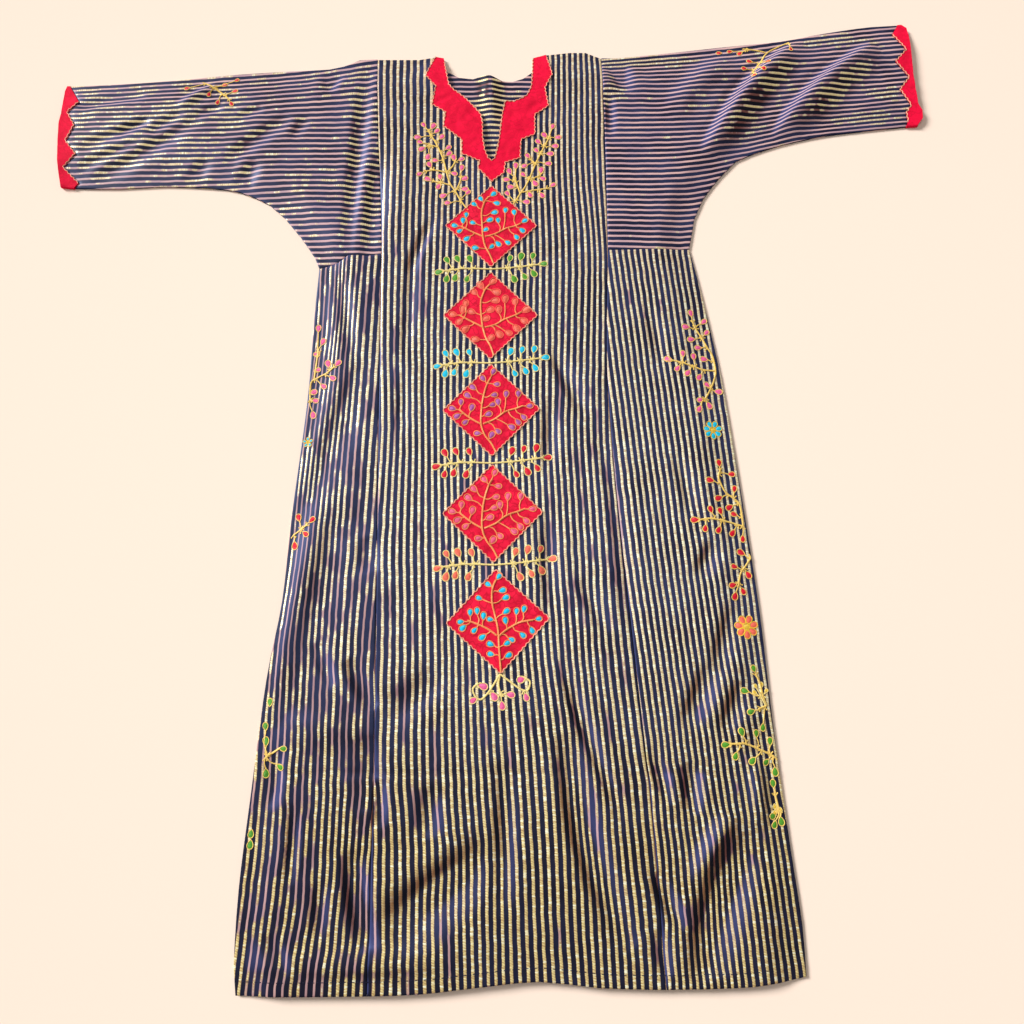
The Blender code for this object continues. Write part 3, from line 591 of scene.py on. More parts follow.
# Colours, as the light shows them
NAVY = (0.010, 0.011, 0.030)
NAVY_SKIRT = (0.008, 0.007, 0.014)
# painted blue sheen of the satin, in blotches
NAVY_PAINTED_SHEEN = (0.024, 0.030, 0.080)
PINK = (0.56, 0.34, 0.31)
MAUVE = (0.36, 0.21, 0.22)
ARM_PINK = (0.71, 0.45, 0.42)
ARM_MAUVE = (0.49, 0.31, 0.35)
GOLD_CREAM = (0.95, 0.78, 0.48)
GOLD_PALE = (0.94, 0.88, 0.54)
CREAM_SHADE = (0.58, 0.43, 0.25)
GOLD_YELLOW = (0.92, 0.77, 0.33)
GOLD_SHADE = (0.50, 0.33, 0.13)
GOLD_GLINT = (1.0, 1.0, 0.76)
GOLD_RIM = (0.26, 0.15, 0.10)
NAVY_DIM = (0.004, 0.003, 0.006)  # painted shade, on slopes away from the light
PINK_DIM = (0.20, 0.075, 0.06)
GOLD_DIM = (0.42, 0.20, 0.09)
NAVY_LIT = (0.040, 0.048, 0.140)  # painted light, on slopes that face it: bluer navy, lilac pink and duller gold
PINK_LIT = (0.50, 0.35, 0.42)
GOLD_LIT = (0.54, 0.42, 0.33)
# the sleeves' gold in painted shade, painted bright as glints
GOLD_SHADED = (1.0, 0.82, 0.36)
RED = (0.90, 0.003, 0.048)
# the deep reds give the cotton's uneven tone and its painted crease shade
RED_DEEP = (0.64, 0.002, 0.028)
PATCH_RED = (0.89, 0.012, 0.055)
PATCH_DEEP = (0.44, 0.003, 0.020)
FLOOR = (0.94, 0.775, 0.652)

# The striped cloth's look, in three kinds: the pink thread's half width in pitches, the length of its
# runs of gold in metres, its colours, how much more gold shows in painted shade, and how far painted shade
# turns the gold to its colour there
Look = namedtuple("Look", "pink_half run rose mauve dim_gold dim dim_colour")
WEAVES = {
    "body": Look(0.14, 0.11, PINK, MAUVE, -0.3, 1.0, GOLD_DIM),
    "side": Look(0.14, 0.065, PINK, MAUVE, -0.3, 1.0, GOLD_DIM),
    "sleeve": Look(0.18, 0.030, ARM_PINK, ARM_MAUVE, 0.36, 0.7, GOLD_SHADED),
}
STRIPE_SEED = 7.31
STRIPE_WAVER = 0.0018  # in metres, how far the stripes waver at most, in all
WAVER_SIZES = (0.050, 0.020)  # across and along, in metres
RUN_NOISE = (0.0, 2.0, 0.6)  # seed, detail, roughness
RUN_SHARE = 0.58  # a stripe's own runs of gold, and the zones that stripes share
ZONE_SHARE = 0.42
ZONE_WIDTH = 0.024
ZONE_RUNS = 1.3  # a zone's length, in runs
LIT_GOLD = -0.3  # how much more gold shows on slopes that face the light
LIT_PINK = 0.6  # how far pink and gold fade to their painted lit colours there
LIT_FADE = 0.9
CORE_GRAIN = 0.16  # how much the gold core's half width varies
CORE_BEAD = 0.03
BEAD_SHIFT = 2.1  # radians from stripe to stripe
# the painted glints: how far they lift the gold's tone, and how strongly they whiten it
GLINT_TONE = 2.2
GLINT_STRENGTH = 0.85
SKIRT_PAINTED_SHEEN = 0.35  # how much of the painted blue sheen the skirt gets, where the top gets 1

# Noise along the stripes: size in metres, seed, detail, roughness
GRAIN = (0.0045, 4.0, 2.0, 0.7)
GLINT = (0.0030, 21.0, 1.0, 0.5)
DULL = (0.05, 9.0, 2.0, 0.5)

# Steps and lines, each a gain and a shift
DIM_SLOPE = (3.2, -0.16)
LIT_SLOPE = (-3.8, -0.28)
GOLD_LIMIT = (-0.36, 0.68)
GOLD_START = (34.0, 0.5)
CORE_START = (14.0, 0.45)
CORE_EDGE = (22.0, 0.5)
STRIPE_EDGE = (20.0, 0.5)
UPPER_FROM = (3.3, 1.80)
CHEST_FROM = (5.0, -0.9)
PAINTED_SHEEN_FROM = (4.0, -1.5)
DULL_FROM = (3.0, -1.0)
BEAD_TONE = (0.45, -0.75)
BEAD_RISE = (0.4, 0.6)
GLINT_FROM = (9.0, -2.5)
COTTON_FROM = (2.0, -0.3)
SILK_FROM = (3.0, -1.0)

# Noise over a surface: scale per metre, detail, roughness
PAINTED_SHEEN_NOISE = (16.0, 3.0, 0.55)
COTTON_NOISE = (60.0, 3.0)
CREASE_SHADE_NOISE = (92.0, 1.0, 0.5)
COTTON_LUMPS = (240.0, 2.0)
SILK_NOISE = (320.0, 2.0)

# Bumps: distance in metres, strength
THREAD_BUMP = (0.0005, 0.55)
COTTON_BUMP = (0.00012, 0.5)
SILK_BUMP = (0.00012, 0.6)

# Surfaces
ROUGHNESS = (0.44, 0.38)  # satin, gold
GOLD_METAL = 0.25
SATIN_SHINE = 0.30
SATIN_TINT = (0.45, 0.58, 1.0, 1.0)
CREASE_SHADE_FALL = 19.0  # how fast the painted shade of a crease fades to its sides
CREASE_SHADE_DEPTH = 1.3
COTTON_THREADS = 0.0009  # in metres
COTTON_ROUGHNESS = 0.8
COTTON_SHINE = 0.12
SILK_ROUGHNESS = 0.42
SILK_SHINE = 0.3

# Floor, lights and camera, in metres, watts and degrees
FLOOR_SIZE = 8
FLOOR_DROP = 0.0003
WORLD_LIGHT = 0.25
WORLD_TINT = (1.0, 0.92, 0.86)
KEY_FROM = (-1.0, 0.62, 0.62)
KEY_POWER = 5.0
KEY_WIDTH = 20.0
SOFTBOX_PLACE = (-0.2, 0.2, 2.4)
SOFTBOX_SIZE = 1.4
SOFTBOX_POWER = 11.0
CAMERA_LENS = 27  # lens and sensor width, in millimetres
CAMERA_SENSOR = 36
CAMERA_TILT = 13.3
CAMERA_TARGET = (0.0335, -0.1086, 0.0)
CAMERA_DISTANCE = 1.0904


def straight(rows, step):
    """Points on the straight runs between the rows, at most step apart."""
    rows = np.array(rows, float)
    points = [rows[0]]
    for start, end in zip(rows, rows[1:]):
        count = max(1, int(np.ceil(np.linalg.norm(end - start) / step)))
        points += [start + (end - start) * i / count for i in range(1, count + 1)]
    return np.array(points)


def smooth(rows, step):
    """Points on the smooth curve through the rows, about step apart."""
    rows = np.array(rows, float)
    knots = np.vstack([2 * rows[0] - rows[1], rows, 2 * rows[-1] - rows[-2]])
    points = [rows[0]]
    for before, start, end, after in zip(knots, knots[1:], knots[2:], knots[3:]):
        count = max(1, int(round(np.linalg.norm(end - start) / step)))
        for t in np.arange(1, count + 1) / count:
            linear = (end - before) * t
            square = (2 * before - 5 * start + 4 * end - after) * t**2
            cube = (3 * start - before - 3 * end + after) * t**3
            points.append((2 * start + linear + square + cube) / 2)
    return np.array(points)


def joined(*lines):
    """One closed loop from lines that meet end to end."""
    return np.vstack([line[:-1] for line in lines])


def closed(loop):
    """A loop with its first point again at the end."""
    return np.vstack([loop, loop[:1]])


def left_of(ahead):
    """The directions to the left of others, one long."""
    ahead = ahead / np.maximum(np.linalg.norm(ahead, axis=1), MM)[:, None]
    return np.column_stack([-ahead[:, 1], ahead[:, 0]])


def run_along(line):
    """How far along a line each of its points is."""
    return np.concatenate([[0], np.cumsum(np.linalg.norm(np.diff(line, axis=0), axis=1))])


def evenly(line, step):
    """Points along a line, evenly spaced by about step."""
    line = np.asarray(line, float)
    run = run_along(line)
    count = max(2, int(round(run[-1] / step)) + 1)
    at = np.linspace(0, run[-1], count)
    return np.column_stack([np.interp(at, run, line[:, 0]), np.interp(at, run, line[:, 1])])


def inset(loop, amount):
    """A counterclockwise loop, moved inwards by amount."""
    inward = left_of(np.roll(loop, -1, axis=0) - loop)
    corner = inward + np.roll(inward, 1, axis=0)
    corner /= np.maximum((corner**2).sum(axis=1), SHARPEST_CORNER)[:, None] / 2
    return loop + amount * corner


def inside(points, loop):
    """Which points lie inside a closed loop."""
    x, y = np.asarray(points, float).T
    hit = np.zeros(len(x), bool)
    for (ax, ay), (bx, by) in zip(loop, np.roll(loop, -1, axis=0)):
        if ay != by:
            crosses = (ay > y) != (by > y)
            hit ^= crosses & (x < (bx - ax) * (y - ay) / (by - ay) + ax)
    return hit


def near(points, line):
    """Distance to a line, the share of its length at the nearest place, and the side: 1 is left."""
    points, line = np.asarray(points, float), np.asarray(line, float)
    runs = np.diff(line, axis=0)
    lengths = np.linalg.norm(runs, axis=1)
    starts = np.concatenate([[0], np.cumsum(lengths)])
    best = np.full(len(points), np.inf)
    share, side = np.zeros(len(points)), np.ones(len(points))
    for corner, run, length, start in zip(line, runs, lengths, starts):
        away = points - corner
        t = np.clip(away @ run / length**2, 0, 1)
        distance = np.linalg.norm(away - t[:, None] * run, axis=1)
        closer = distance < best
        best[closer] = distance[closer]
        share[closer] = (start + t[closer] * length) / starts[-1]
        side[closer] = np.sign(run[0] * away[closer, 1] - run[1] * away[closer, 0])
    return best, share, side


def ramp(value):
    """Rises smoothly from 0 to 1."""
    value = np.clip(value, 0, 1)
    return value * value * (3 - 2 * value)


def fold_line(fold):
    """The bend through a fold's three places."""
    start, middle, end = (np.array(place, float) for place in (fold.start, fold.middle, fold.end))
    t = np.linspace(0, 1, FOLD_SAMPLES)[:, None]
    pull = 2 * middle - (start + end) / 2
    return (1 - t) ** 2 * start + 2 * t * (1 - t) * pull + t**2 * end


def beside(points, line, reach):
    """Which points lie within reach of a line's box."""
    low, high = line.min(axis=0) - reach, line.max(axis=0) + reach
    return ((points > low) & (points < high)).all(axis=1)


def fold_height(points, fold, shoulders=FOLD_SHOULDERS):
    """A rounded ridge or trough with lower shoulders, which runs out at both ends."""
    line = fold_line(fold)
    close = beside(points, line, FOLD_SEEN * max(fold.left, fold.right))
    height = np.zeros(len(points))
    if close.any():
        distance, share, side = near(points[close], line)
        across = distance / np.where(side > 0, fold.left, fold.right)
        profile = (1 - shoulders * across**2) * np.exp(-(across**2))
        height[close] = fold.height * profile * np.sin(np.pi * share) ** FOLD_END
    return height


def outer_edges():
    """The lines where front and back meet: sides, underarms, sleeve tops and shoulders."""
    lines = (SIDE_LEFT, SIDE_RIGHT, UNDERARM_LEFT, UNDERARM_RIGHT, SLEEVE_TOP_LEFT, SLEEVE_TOP_RIGHT)
    curves = [smooth(line, OUTLINE_STEP) for line in lines]
    return curves + [straight(line, OUTLINE_STEP) for line in (SHOULDER_LEFT, SHOULDER_RIGHT)]


def noise_at(points, size, seed):
    """Smooth noise from -1 to 1, with features of the given sizes along x and y."""
    scaled = np.asarray(points, float) / size
    return np.array([noise.noise(Vector((x, y, seed))) for x, y in scaled])


def edge_distance(points):
    """How far each place is from where front and back meet."""
    return np.min([near(points, line)[0] for line in outer_edges()], axis=0)


def front_level(points):
    """Height of the front's underside over the floor, with its fine creases and ripples."""
    points = np.asarray(points, float)
    edge = edge_distance(points)
    neck = ramp((NECK_REACH + NECK_FADE - near(points, NECK_LINE)[0]) / NECK_FADE)
    lift = LOFT * (1 - NECK_SETTLE * neck) * ramp(edge / EDGE_EASE)
    lift = lift + sum(fold_height(points, fold) for fold in FOLDS) * ramp(edge / FOLD_EASE)
    lift = (lift + np.sqrt(lift**2 + SOFTNESS**2) - SOFTNESS) / 2
    rise = NECK_RISE * neck * ramp(edge / NECK_RISE_EASE)
    fine = sum(height * noise_at(points, size, seed) for height, size, seed in RIPPLES)
    fine = fine * (1 - NECK_SETTLE * neck)
    fine = fine + sum(fold_height(points, crease, shoulders=0) for crease in CREASES)
    fine = fine * ramp(edge / EDGE_EASE)
    return CLOTH + GAP + rise + np.maximum(lift, 0) + fine


def front_top(points):
    """Height of the front's face."""
    return front_level(points) + CLOTH


def trim_top(points):
    """Height of the face of what is sewn on the front."""
    puckers = sum(height * noise_at(points, (size, size), seed) for height, size, seed in PUCKERS)
    return front_top(points) + GAP + TRIM + puckers


def cuff_top(points):
    """Height of a cuff's face."""
    return trim_top(points) - GAP


def back_level(points):
    """Height of the back's underside: it lies flat, with one fold at the neck."""
    return fold_height(points, BACK_NECK_FOLD, shoulders=0)


def drawn_in(points):
    """Where the cloth at each place would lie if its folds were pulled flat."""
    flat = np.array(points, float)
    for fold in FOLDS:
        line = fold_line(fold)
        close = beside(points, line, DRAW_SEEN * DRAW_REACH)
        if not close.any():
            continue
        distance, share, side = near(points[close], line)
        chord = line[-1] - line[0]
        left = np.array([-chord[1], chord[0]]) / np.linalg.norm(chord)
        signed = side * distance
        middle = RIDGE_LEAN * fold.left if fold.height > RIDGE_HEIGHT else 0.0
        hidden = HIDDEN * abs(fold.height) * np.sin(np.pi * share) ** FOLD_END / 2
        step = np.tanh(DRAW_EDGE * (signed - middle) * 2 / (fold.left + fold.right))
        flat[close] += (hidden * step * np.exp(-distance / DRAW_REACH))[:, None] * left
    return flat


def stripe_place(points, panel):
    """Millimetres of cloth across and along the stripes."""
    chart = STRIPES[panel]
    flat = drawn_in(points)
    along, across = flat[:, chart.along], flat[:, 1 - chart.along]
    columns = []
    for i in range(1, len(chart.marks) + 1):
        run = smooth([(row[0], row[i]) for row in chart.rows], STRIPE_STEP)
        columns.append(np.interp(along, run[:, 0], run[:, 1]))
    places = np.column_stack(columns)
    high = np.clip((places <= across[:, None]).sum(axis=1), 1, len(chart.marks) - 1)
    rows = np.arange(len(points))
    before, after = places[rows, high - 1], places[rows, high]
    marks = np.array(chart.marks, float)
    t = (across - before) / (after - before)
    return marks[high - 1] + t * (marks[high] - marks[high - 1]), along


def gold_share(points, panel):
    """How much of the stripes shows gold."""
    share = np.full(len(points), GOLD_BASE[panel])
    arm = panel.startswith("sleeve")
    for place in GOLD_PLACES:
        if (abs(place.x) > SLEEVE_FROM[0] and place.y > SLEEVE_FROM[1]) == arm:
            away = (points[:, 0] - place.x) ** 2 / place.across**2
            away += (points[:, 1] - place.y) ** 2 / place.along**2
            weight = np.exp(-away)
            share += (place.share - share) * weight
    return share


def fill(loop, step, rings=()):
    """Points and triangles that fill a loop, its own points first, with rows at the rings' distances."""
    low, high = loop.min(axis=0), loop.max(axis=0)
    rows = np.arange(low[1], high[1], step * math.sqrt(3) / 2)
    grid = [
        (x, y)
        for i, y in enumerate(rows)
        for x in np.arange(low[0] + step / 2 * (i % 2), high[0], step)
    ]
    grid = np.array(grid).reshape(-1, 2)
    grid = grid[inside(grid, loop)]
    room = (rings[-1] if rings else 0) + RIM_ROOM * step
    blocks = [loop, grid[near(grid, closed(loop))[0] > room]]
    for distance in rings:
        ring = inset(loop, distance)
        ring = ring[inside(ring, loop)]
        blocks.append(ring[near(ring, closed(loop))[0] > RING_ROOM * distance])
    points = np.vstack(blocks)
    edges = [(i, (i + 1) % len(loop)) for i in range(len(loop))]
    made = delaunay_2d_cdt([Vector(point) for point in points], edges, [], 0, SAME_POINT)
    order = np.array([sources[0] for sources in made[3]])
    triangles = order[np.array(made[2])]
    return points, within_rim(triangles, len(loop))


def within_rim(triangles, rim):
    """The triangles on the left of the first rim points' loop, found from its edges inwards."""
    rows = triangles.tolist()
    owner = {}
    for i, (a, b, c) in enumerate(rows):
        owner[a, b] = owner[b, c] = owner[c, a] = i
    border = {(i, (i + 1) % rim) for i in range(rim)}
    waiting = [owner[edge] for edge in border]
    found = set(waiting)
    while waiting:
        a, b, c = rows[waiting.pop()]
        for edge in ((a, b), (b, c), (c, a)):
            other = owner.get(edge[::-1])
            if edge not in border and other is not None and other not in found:
                found.add(other)
                waiting.append(other)
    return triangles[sorted(found)]


def seam_drop(points, loop):
    """How far a panel's face drops towards its seams."""
    away = near(points, closed(loop))[0]
    away[:len(loop)] = 0
    return np.interp(away, SEAM_ROWS, SEAM_DROPS, right=0)


def slopes(points, triangles, height):
    """How much each point of a filled loop slopes away from the light."""
    corners = np.column_stack([points, height])[triangles]
    normals = np.cross(corners[:, 1] - corners[:, 0], corners[:, 2] - corners[:, 0])
    total = np.zeros((len(points), 3))
    for i in range(3):
        np.add.at(total, triangles[:, i], normals)
    slope = total[:, :2] @ SHADED / np.maximum(total[:, 2], SAME_POINT)
    return slope * ramp(edge_distance(points) / np.where(slope < 0, LIT_EASE, EDGE_EASE))


def at_height(points, height):
    """Plan points with their height."""
    return np.column_stack([points, np.broadcast_to(height, len(points))])


def add_mesh(name, vertices, faces, material):
    """A named object from points in millimetres and faces, shaded smooth but for its sharp edges."""
    mesh = bpy.data.meshes.new(name)
    placed = (np.asarray(vertices, float) - (MIDDLE_X, 0, 0)) * MM
    mesh.from_pydata(placed.tolist(), [], faces)
    mesh.materials.append(material)
    mesh.shade_smooth()
    mesh.set_sharp_from_angle(angle=math.radians(SHARP_EDGE))
    piece = bpy.data.objects.new(name, mesh)
    bpy.context.scene.collection.objects.link(piece)
    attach(piece, "root")
    return piece


def corner_indices(mesh):
    """The vertex of each face corner."""
    found = np.empty(len(mesh.loops), np.int32)
    mesh.loops.foreach_get("vertex_index", found)
    return found


def set_map(piece, name, values):
    """A UV map from a pair of numbers for each face corner."""
    layer = piece.data.uv_layers.new(name=name)
    layer.data.foreach_set("uv", np.asarray(values, np.float32).ravel())


def set_values(piece, name, values):
    """A number at each vertex."""
    layer = piece.data.attributes.new(name, "FLOAT", "POINT")
    layer.data.foreach_set("value", np.asarray(values, np.float32))


def set_bake_map(piece, groups):
    """An even layout for the faces, in order: each group has a number of faces and a box to fill."""
    mesh = piece.data
    xy = np.empty(len(mesh.vertices) * 3, np.float32)
    mesh.vertices.foreach_get("co", xy)
    xy = xy.reshape(-1, 3)[:, :2]
    share = (xy - xy.min(axis=0)) / (xy.max(axis=0) - xy.min(axis=0))
    totals = np.empty(len(mesh.polygons), np.int32)
    mesh.polygons.foreach_get("loop_total", totals)
    ends = np.cumsum(totals)
    values = share[corner_indices(mesh)]
    start = 0
    first = 0
    for count, (left, low, right, top) in groups:
        last = ends[first + count - 1] if count else start
        values[start:last] = (left, low) + values[start:last] * (right - left, top - low)
        start, first = last, first + count
    set_map(piece, "OFBake", values)


def cloth_sheet(name, plan, loop, under, top, material, panel=None):
    """A closed thin sheet of cloth between two heights, with its stripes if it has any."""
    points, triangles = plan
    count, rim = len(points), len(loop)
    vertices = np.vstack([at_height(points, under), at_height(points, top)])
    faces = (triangles + count).tolist() + triangles[:, ::-1].tolist()
    faces += [(a, (a + 1) % rim, (a + 1) % rim + count, a + count) for a in range(rim)]
    piece = add_mesh(name, vertices, faces, material)
    set_bake_map(piece, (
        (len(triangles), FACE_BOX), (len(triangles), UNDER_BOX), (rim, EDGE_BOX),
    ))
    if panel:
        across, along = stripe_place(points, panel)
        place = np.column_stack([across, along]) * MM
        set_map(piece, "cloth", np.vstack([place, place])[corner_indices(piece.data)])
        set_values(piece, "gold", np.tile(gold_share(points, panel), 2))
        set_values(piece, "slope", np.tile(slopes(points, triangles, top), 2))
    return piece


def fold_rims(loop, is_fold, under, top, thickness):
    """Rows of points round the folded rim, on the cloth's outside and on its inside."""
    ahead = (np.roll(loop, -1, axis=0) - loop) * np.array(is_fold)[:, None]
    out = -left_of(ahead + np.roll(ahead, 1, axis=0))
    outer, inner = [], []
    for turn in np.radians(FOLD_TURNS):
        rise = (1 - math.cos(turn)) / 2
        outer.append(at_height(loop + FOLD_ROUND * math.sin(turn) * out, top * rise))
        deep = (FOLD_ROUND - thickness) * math.sin(turn)
        inner.append(at_height(loop + deep * out, thickness + (under - thickness) * rise))
    return outer, inner


def fold_walls(is_fold, outside, inward):
    """The faces at the rim: round where it is folded, and a plain edge for each layer elsewhere."""
    floor, face = outside[0], outside[-1]
    lower, upper = inward[0], inward[-1]
    walls = []
    for a in range(len(is_fold)):
        b = (a + 1) % len(is_fold)
        if is_fold[a]:
            walls += [(a + s, b + s, b + e, a + e) for s, e in zip(outside, outside[1:])]
            walls += [(b + s, a + s, a + e, b + e) for s, e in zip(inward, inward[1:])]
        else:
            walls.append((a + floor, b + floor, b + lower, a + lower))
            walls.append((a + upper, b + upper, b + face, a + face))
        if is_fold[a] and not is_fold[a - 1]:
            walls.append(tuple([a + s for s in outside] + [a + s for s in inward[::-1]]))
        if is_fold[a] and not is_fold[b]:
            walls.append(tuple([b + s for s in inward] + [b + s for s in outside[::-1]]))
    return walls


def folded_cloth(name, loop, is_fold, plan, under, top, thickness, material, panel=None):
    """Cloth folded over at the marked rim edges: a flat lower half, round folds and an upper half."""
    points, triangles = plan
    rim = len(loop)
    lower_points, flat = fill(loop, BACK_STEP)
    outer, inner = fold_rims(loop, is_fold, under[:rim], top[:rim], thickness)
    blocks = [
        at_height(lower_points, 0.0), at_height(lower_points, thickness), *outer, *inner,
        at_height(points, under), at_height(points, top),
    ]
    starts = np.concatenate([[0], np.cumsum([len(block) for block in blocks])])
    floor, lower, upper, face = starts[0], starts[1], starts[-3], starts[-2]
    walls = fold_walls(is_fold, [floor, *starts[2:5], face], [lower, *starts[5:8], upper])
    groups = [(triangles + face), (flat[:, ::-1] + floor), (flat + lower), (triangles[:, ::-1] + upper)]
    faces = [face for group in groups for face in group.tolist()] + walls
    piece = add_mesh(name, np.vstack(blocks), [tuple(map(int, f)) for f in faces], material)
    set_bake_map(piece, (
        (len(groups[0]), FACE_BOX), (len(groups[1]), UNDER_BOX),
        (len(groups[2]) + len(groups[3]), INNER_BOX), (len(walls), EDGE_BOX),
    ))
    if panel:
        set_folded_stripes(piece, blocks, loop, is_fold, points, triangles, top, panel)
    return piece


def set_folded_stripes(piece, blocks, loop, is_fold, points, triangles, top, panel):
    """Carries a sleeve's stripes over its fold and down its lower half."""
    across, along = stripe_place(points, panel)
    fold_rim = np.array([i for i in range(len(loop)) if is_fold[i]])
    order = fold_rim[np.argsort(loop[fold_rim, 0])]
    at_fold = [np.interp(block[:, 0], loop[order, 0], across[order]) for block in blocks]
    places = []
    for i, (block, fold) in enumerate(zip(blocks, at_fold)):
        flat_across, flat_along = stripe_place(block[:, :2], panel)
        if i < 2:
            flat_across = 2 * fold - flat_across + 2 * FOLD_ROUND
        elif i < len(blocks) - 2:
            flat_across = fold + FOLD_ROUND
        places.append(np.column_stack([flat_across, flat_along]))
    places = np.vstack(places) * MM
    set_map(piece, "cloth", places[corner_indices(piece.data)])
    share = np.full(len(places), GOLD_BASE[panel])
    share[-len(points):] = gold_share(points, panel)
    set_values(piece, "gold", share)
    slope = np.zeros(len(places))
    slope[-len(points):] = slopes(points, triangles, top)
    set_values(piece, "slope", slope)


class Graph:
    """A material's nodes, added one call at a time."""

    def __init__(self, name):
        self.material = bpy.data.materials.new(name)
        self.material.use_nodes = True
        self.tree = self.material.node_tree
        self.shader = self.tree.nodes["Principled BSDF"]

    def put(self, socket, value):
        """Sets a socket to a number or links it to another socket."""
        if isinstance(value, bpy.types.NodeSocket):
            self.tree.links.new(value, socket)
        else:
            socket.default_value = value

    def node(self, kind, inputs=(), **settings):
        node = self.tree.nodes.new(kind)
        for name, value in settings.items():
            setattr(node, name, value)
        for key, value in dict(inputs).items():
            self.put(node.inputs[key], value)
        return node

    def math(self, operation, first, second=0.0, third=0.0):
        inputs = {0: first, 1: second, 2: third}
        return self.node("ShaderNodeMath", inputs, operation=operation).outputs[0]

    def times(self, first, second):
        return self.math("MULTIPLY", first, second)

    def minus(self, first, second):
        return self.math("SUBTRACT", first, second)

    def line(self, value, gain, shift):
        """A number times a gain, plus a shift."""
        return self.math("MULTIPLY_ADD", value, gain, shift)

    def clamped(self, value):
        return self.node("ShaderNodeClamp", {0: value}).outputs[0]

    def step(self, value, gain, shift):
        """A number times a gain, plus a shift, held between 0 and 1."""
        return self.clamped(self.line(value, gain, shift))

    def mixed(self, share, first, second):
        """A colour between two colours."""
        node = self.node("ShaderNodeMix", data_type="RGBA")
        self.put(node.inputs[0], share)
        for socket, colour in ((node.inputs[6], first), (node.inputs[7], second)):
            self.put(socket, (*colour, 1) if isinstance(colour, tuple) else colour)
        return node.outputs[2]

    def between(self, share, first, second):
        """A number between two numbers."""
        return self.line(share, second - first, first)

    def noise(self, vector, scale, detail=2.0, roughness=0.5):
        inputs = {"Vector": vector, "Scale": scale, "Detail": detail, "Roughness": roughness}
        return self.node("ShaderNodeTexNoise", inputs).outputs[0]

    def place(self, x, y, z=0.0):
        return self.node("ShaderNodeCombineXYZ", {0: x, 1: y, 2: z}).outputs[0]

    def parts(self, vector):
        return self.node("ShaderNodeSeparateXYZ", {0: vector}).outputs

    def blotches(self, across, along, sizes):
        """Noise over the cloth, with features of the two sizes in metres."""
        scaled = [self.math("DIVIDE", value, size) for value, size in zip((across, along), sizes)]
        return self.noise(self.place(*scaled), 1.0)

    def map(self, name):
        return self.node("ShaderNodeUVMap", uv_map=name).outputs[0]

    def number(self, name):
        """A number that the mesh has at each vertex."""
        return self.node("ShaderNodeAttribute", attribute_name=name).outputs["Fac"]

    def position(self):
        return self.node("ShaderNodeNewGeometry").outputs["Position"]

    def bump(self, height, distance, strength=1.0):
        node = self.node("ShaderNodeBump", {"Height": height, "Distance": distance, "Strength": strength})
        self.put(self.shader.inputs["Normal"], node.outputs[0])

    def set(self, **values):
        for name, value in values.items():
            self.put(self.shader.inputs[name.replace("_", " ")], value)


